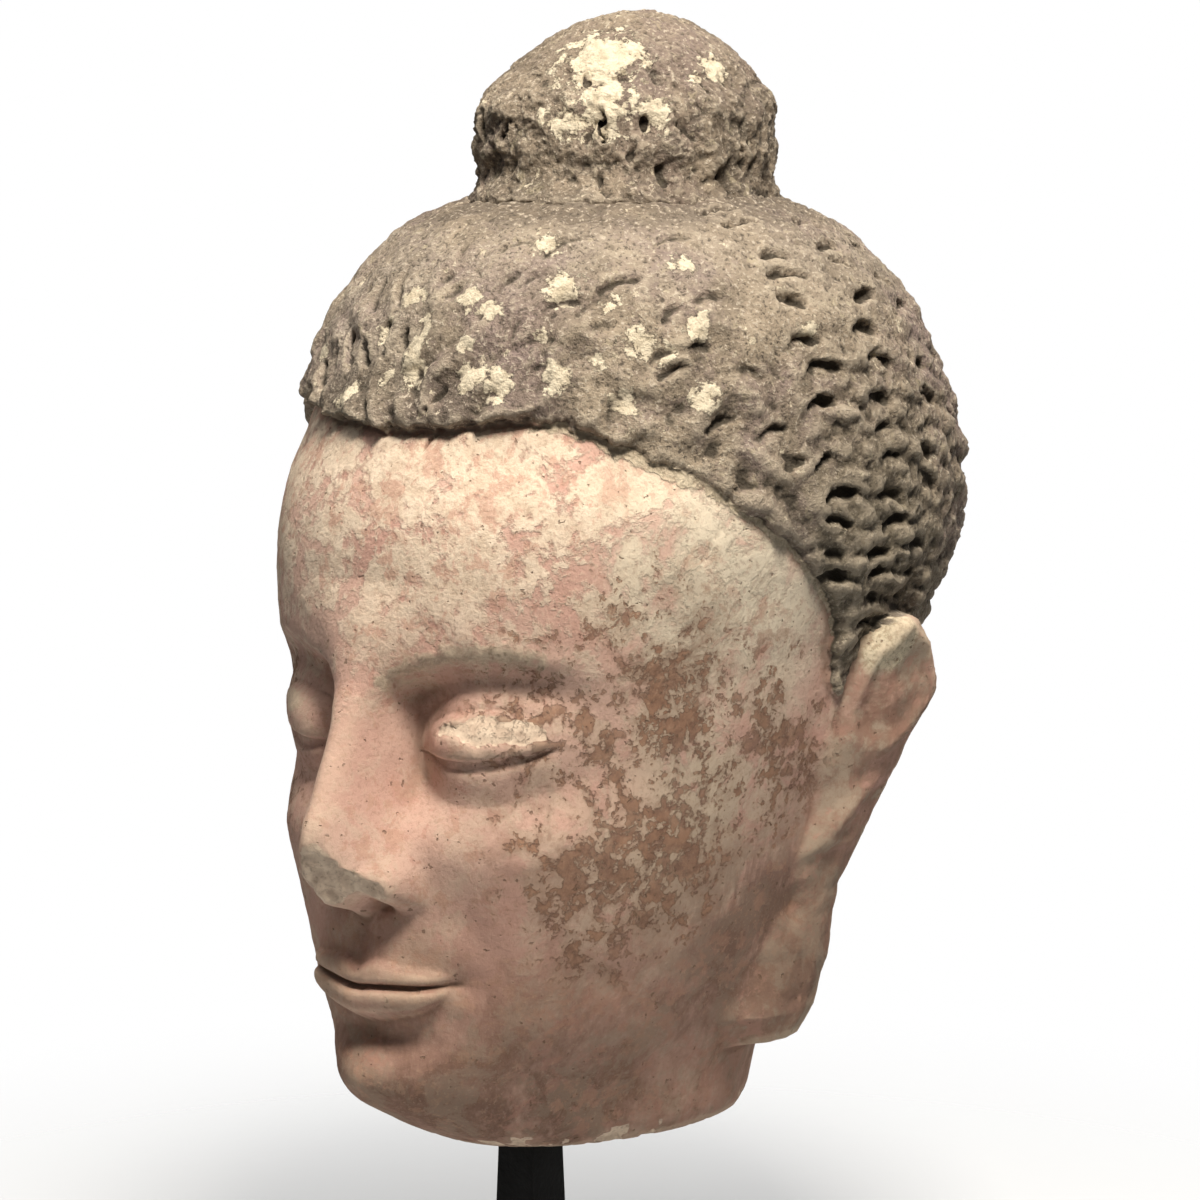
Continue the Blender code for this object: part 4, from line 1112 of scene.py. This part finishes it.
def painted_clay():
    """Pink paint on the face, dark paint on the hair, and bare clay where either is broken."""
    clay = Finish("painted_clay")
    hair, ear, hollow = clay.layer("hair"), clay.layer("ear"), clay.layer("hollow")
    height = clay.add("ShaderNodeSeparateXYZ", {}, {"Vector": clay.place}, "Z") - SEAT.z
    low = clay.step(height, 0.100, 0.020)
    high = clay.step(height, 0.105, 0.165)
    noises = paint_noises(clay)
    _, cloudy, patchy, _, small, grain, strokes = noises

    skin, gritty, thick = face_paint(clay, noises, low, high)
    skin, stained = stained_paint(clay, noises, low, skin)
    skin = ear_paint(clay, noises, ear, skin)
    # Pale specks, most of them high up on the face: partly painted highlight.
    bright = clay.step(grain, 0.55, 0.66) * (0.25 + 0.75 * high) * (1 - 0.7 * ear)
    specks = clay.step(clay.noise(0.0019, 2, 0.5), 0.69, 0.74)
    crust = clay.step(clay.layer("border") + 1.3 * (small - 0.5) + 0.9 * (cloudy - 0.5), 0.52, 0.72)
    crusty = clay.mix(clay.step(grain, 0.4, 0.6), colour(0.38, 0.325, 0.225), colour(0.64, 0.55, 0.40))
    # Chalky paint on the worn brow, and a painted highlight on the far upper lid.
    edge = clay.step(clay.layer("worn_edge_and_lid_highlight") + 0.9 * (small - 0.5), 0.50, 0.72)
    chalky = clay.mix(clay.step(grain, 0.4, 0.6), colour(0.68, 0.57, 0.42), colour(0.52, 0.43, 0.31))
    core = clay.mix(clay.step(small, 0.35, 0.65), colour(0.61, 0.465, 0.350), colour(0.79, 0.640, 0.490))
    core = clay.mix(0.6 * clay.step(grain, 0.5, 0.68), core, colour(0.37, 0.262, 0.190))
    skin = clay.coats(
        skin,
        (0.34 * clay.step(grain, 0.47, 0.36), colour(0.33, 0.20, 0.135)),
        (0.34 * bright, colour(0.80, 0.65, 0.48)),
        (0.70 * specks, colour(0.20, 0.125, 0.082)),
        # Painted shade in the face's hollows, and painted highlight on its ridges.
        (0.60 * clay.step(hollow, 0.06, 0.6), colour(0.20, 0.115, 0.075)),
        (0.30 * clay.step(hollow, -0.10, -0.5), colour(0.76, 0.60, 0.44)),
        (0.7 * crust, crusty),
        (0.62 * edge, chalky),
        (clay.step(clay.layer("bare"), 0.35, 0.6), core),
    )
    dark, flakes = hair_paint(clay, noises, height, hollow)
    inside = clay.mix(clay.step(patchy, 0.4, 0.6), core, colour(0.33, 0.25, 0.18))
    whole = clay.coats(
        skin,
        (clay.step(hair + 0.4 * (small - 0.5), 0.08, 0.30), dark),
        (clay.layer("broken"), inside),
    )

    relief = (small * 0.9 + grain * 0.8) * clay.most(gritty, 1.35 * hair)
    relief = relief + (strokes * 0.10 + thick - 0.20 * stained) * (1 - hair)
    relief = relief + 0.4 * flakes * hair - 0.25 * specks + 0.5 * grain * crust * (1 - hair)
    clay.set(base_color=whole, roughness=0.80 + 0.12 * small, specular_ior_level=0.25)
    clay.bump(relief, 0.0011)
    return clay.material


def black_paint():
    """Matt black paint on steel, with dust and a few rubbed places."""
    paint = Finish("black_paint")
    dust = paint.noise(0.030, 6, 0.65)
    orange_peel = paint.noise(0.0012, 3, 0.5)
    rubbed = paint.step(paint.noise(0.012, 7, 0.7), 0.66, 0.74)
    base = paint.coats(
        colour(0.0016, 0.0015, 0.0014),
        (0.5 * paint.step(dust, 0.45, 0.70), colour(0.0050, 0.0047, 0.0043)),
        (0.4 * rubbed, colour(0.014, 0.013, 0.012)),
    )
    paint.set(base_color=base, roughness=0.46 + 0.2 * paint.step(dust, 0.35, 0.7), specular_ior_level=0.14)
    paint.bump(orange_peel, 0.00015)
    return paint.material


def pale_floor():
    """Pale floor that fades into the bright surround away from the object."""
    cover = Finish("pale_floor")
    cloud = cover.noise(0.4, 3, 0.5)
    away = cover.add("ShaderNodeVectorMath", {"operation": "LENGTH"}, {0: cover.place}, "Value")
    cover.set(base_color=cover.mix(cloud, colour(0.82, 0.85, 0.88), colour(0.84, 0.87, 0.90)),
              roughness=0.7, specular_ior_level=0.2, alpha=cover.step(away, 0.50, 0.14))
    return cover.material


def direction(azimuth, elevation):
    """The way from the head to a place round it, in degrees from its front towards its left, and up."""
    a, e = math.radians(azimuth), math.radians(elevation)
    return Vector((math.sin(a) * math.cos(e), -math.cos(a) * math.cos(e), math.sin(e)))


def set_stage():
    """A pale floor, a bright surround and four soft lights."""
    mesh = bpy.data.meshes.new("floor")
    turns = [2 * math.pi * step / FLOOR_SIDES for step in range(FLOOR_SIDES)]
    rim = [(FLOOR_RADIUS * math.cos(t), FLOOR_RADIUS * math.sin(t), -FLOOR_DROP) for t in turns]
    mesh.from_pydata(rim, [], [tuple(range(FLOOR_SIDES))])
    mesh.materials.append(pale_floor())
    floor = bpy.data.objects.new("floor", mesh)
    bpy.context.scene.collection.objects.link(floor)

    world = bpy.data.worlds.new("surround")
    world.use_nodes = True
    tree = world.node_tree
    seen = tree.nodes.new("ShaderNodeLightPath")
    strength = tree.nodes.new("ShaderNodeMapRange")
    strength.inputs["To Min"].default_value = 0.10
    strength.inputs["To Max"].default_value = 1.0
    tree.links.new(seen.outputs["Is Camera Ray"], strength.inputs["Value"])
    tree.links.new(strength.outputs["Result"], tree.nodes["Background"].inputs["Strength"])
    tree.nodes["Background"].inputs["Color"].default_value = (1, 1, 1, 1)
    bpy.context.scene.world = world

    middle = SEAT + UP * 0.5 * HEAD_HEIGHT
    for name, azimuth, elevation, distance, size, power, tint in (
        ("key", 52, 55, 0.82, 0.20, 10.0, (1, 0.925, 0.83)),
        ("top", -10, 78, 1.00, 0.45, 4.5, (1, 0.945, 0.87)),
        ("left fill", -65, 55, 1.50, 0.9, 3.6, (1, 0.96, 0.92)),
        ("back", 175, 35, 1.60, 1.0, 9.0, (1, 0.96, 0.92)),
    ):
        light = bpy.data.lights.new(name, "AREA")
        light.size = size
        light.energy = power
        light.color = tint
        lamp = bpy.data.objects.new(name, light)
        lamp.location = middle + direction(azimuth, elevation) * distance
        lamp.rotation_euler = (middle - lamp.location).to_track_quat("-Z", "Y").to_euler()
        bpy.context.scene.collection.objects.link(lamp)


def set_camera():
    """A camera at the photograph's angle, aimed at the middle of the head."""
    back = direction(CAMERA_AZIMUTH, CAMERA_ELEVATION)
    camera = bpy.data.objects.new("camera", bpy.data.cameras.new("camera"))
    camera.data.sensor_width = SENSOR_WIDTH
    camera.data.lens = SENSOR_WIDTH * CAMERA_DISTANCE / CAMERA_FRAME
    camera.location = SEAT + UP * AIM_HEIGHT + back * CAMERA_DISTANCE
    camera.rotation_euler = (-back).to_track_quat("-Z", "Y").to_euler()
    bpy.context.scene.collection.objects.link(camera)
    bpy.context.scene.camera = camera


set_camera()
head = make_head(painted_clay())
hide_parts("head")
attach(head, "root")
black = black_paint()
for node in ("mount_post", "mount_foot"):
    for finish_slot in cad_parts[node].material_slots:
        finish_slot.material = black
set_stage()
bpy.context.scene.view_settings.view_transform = "Standard"
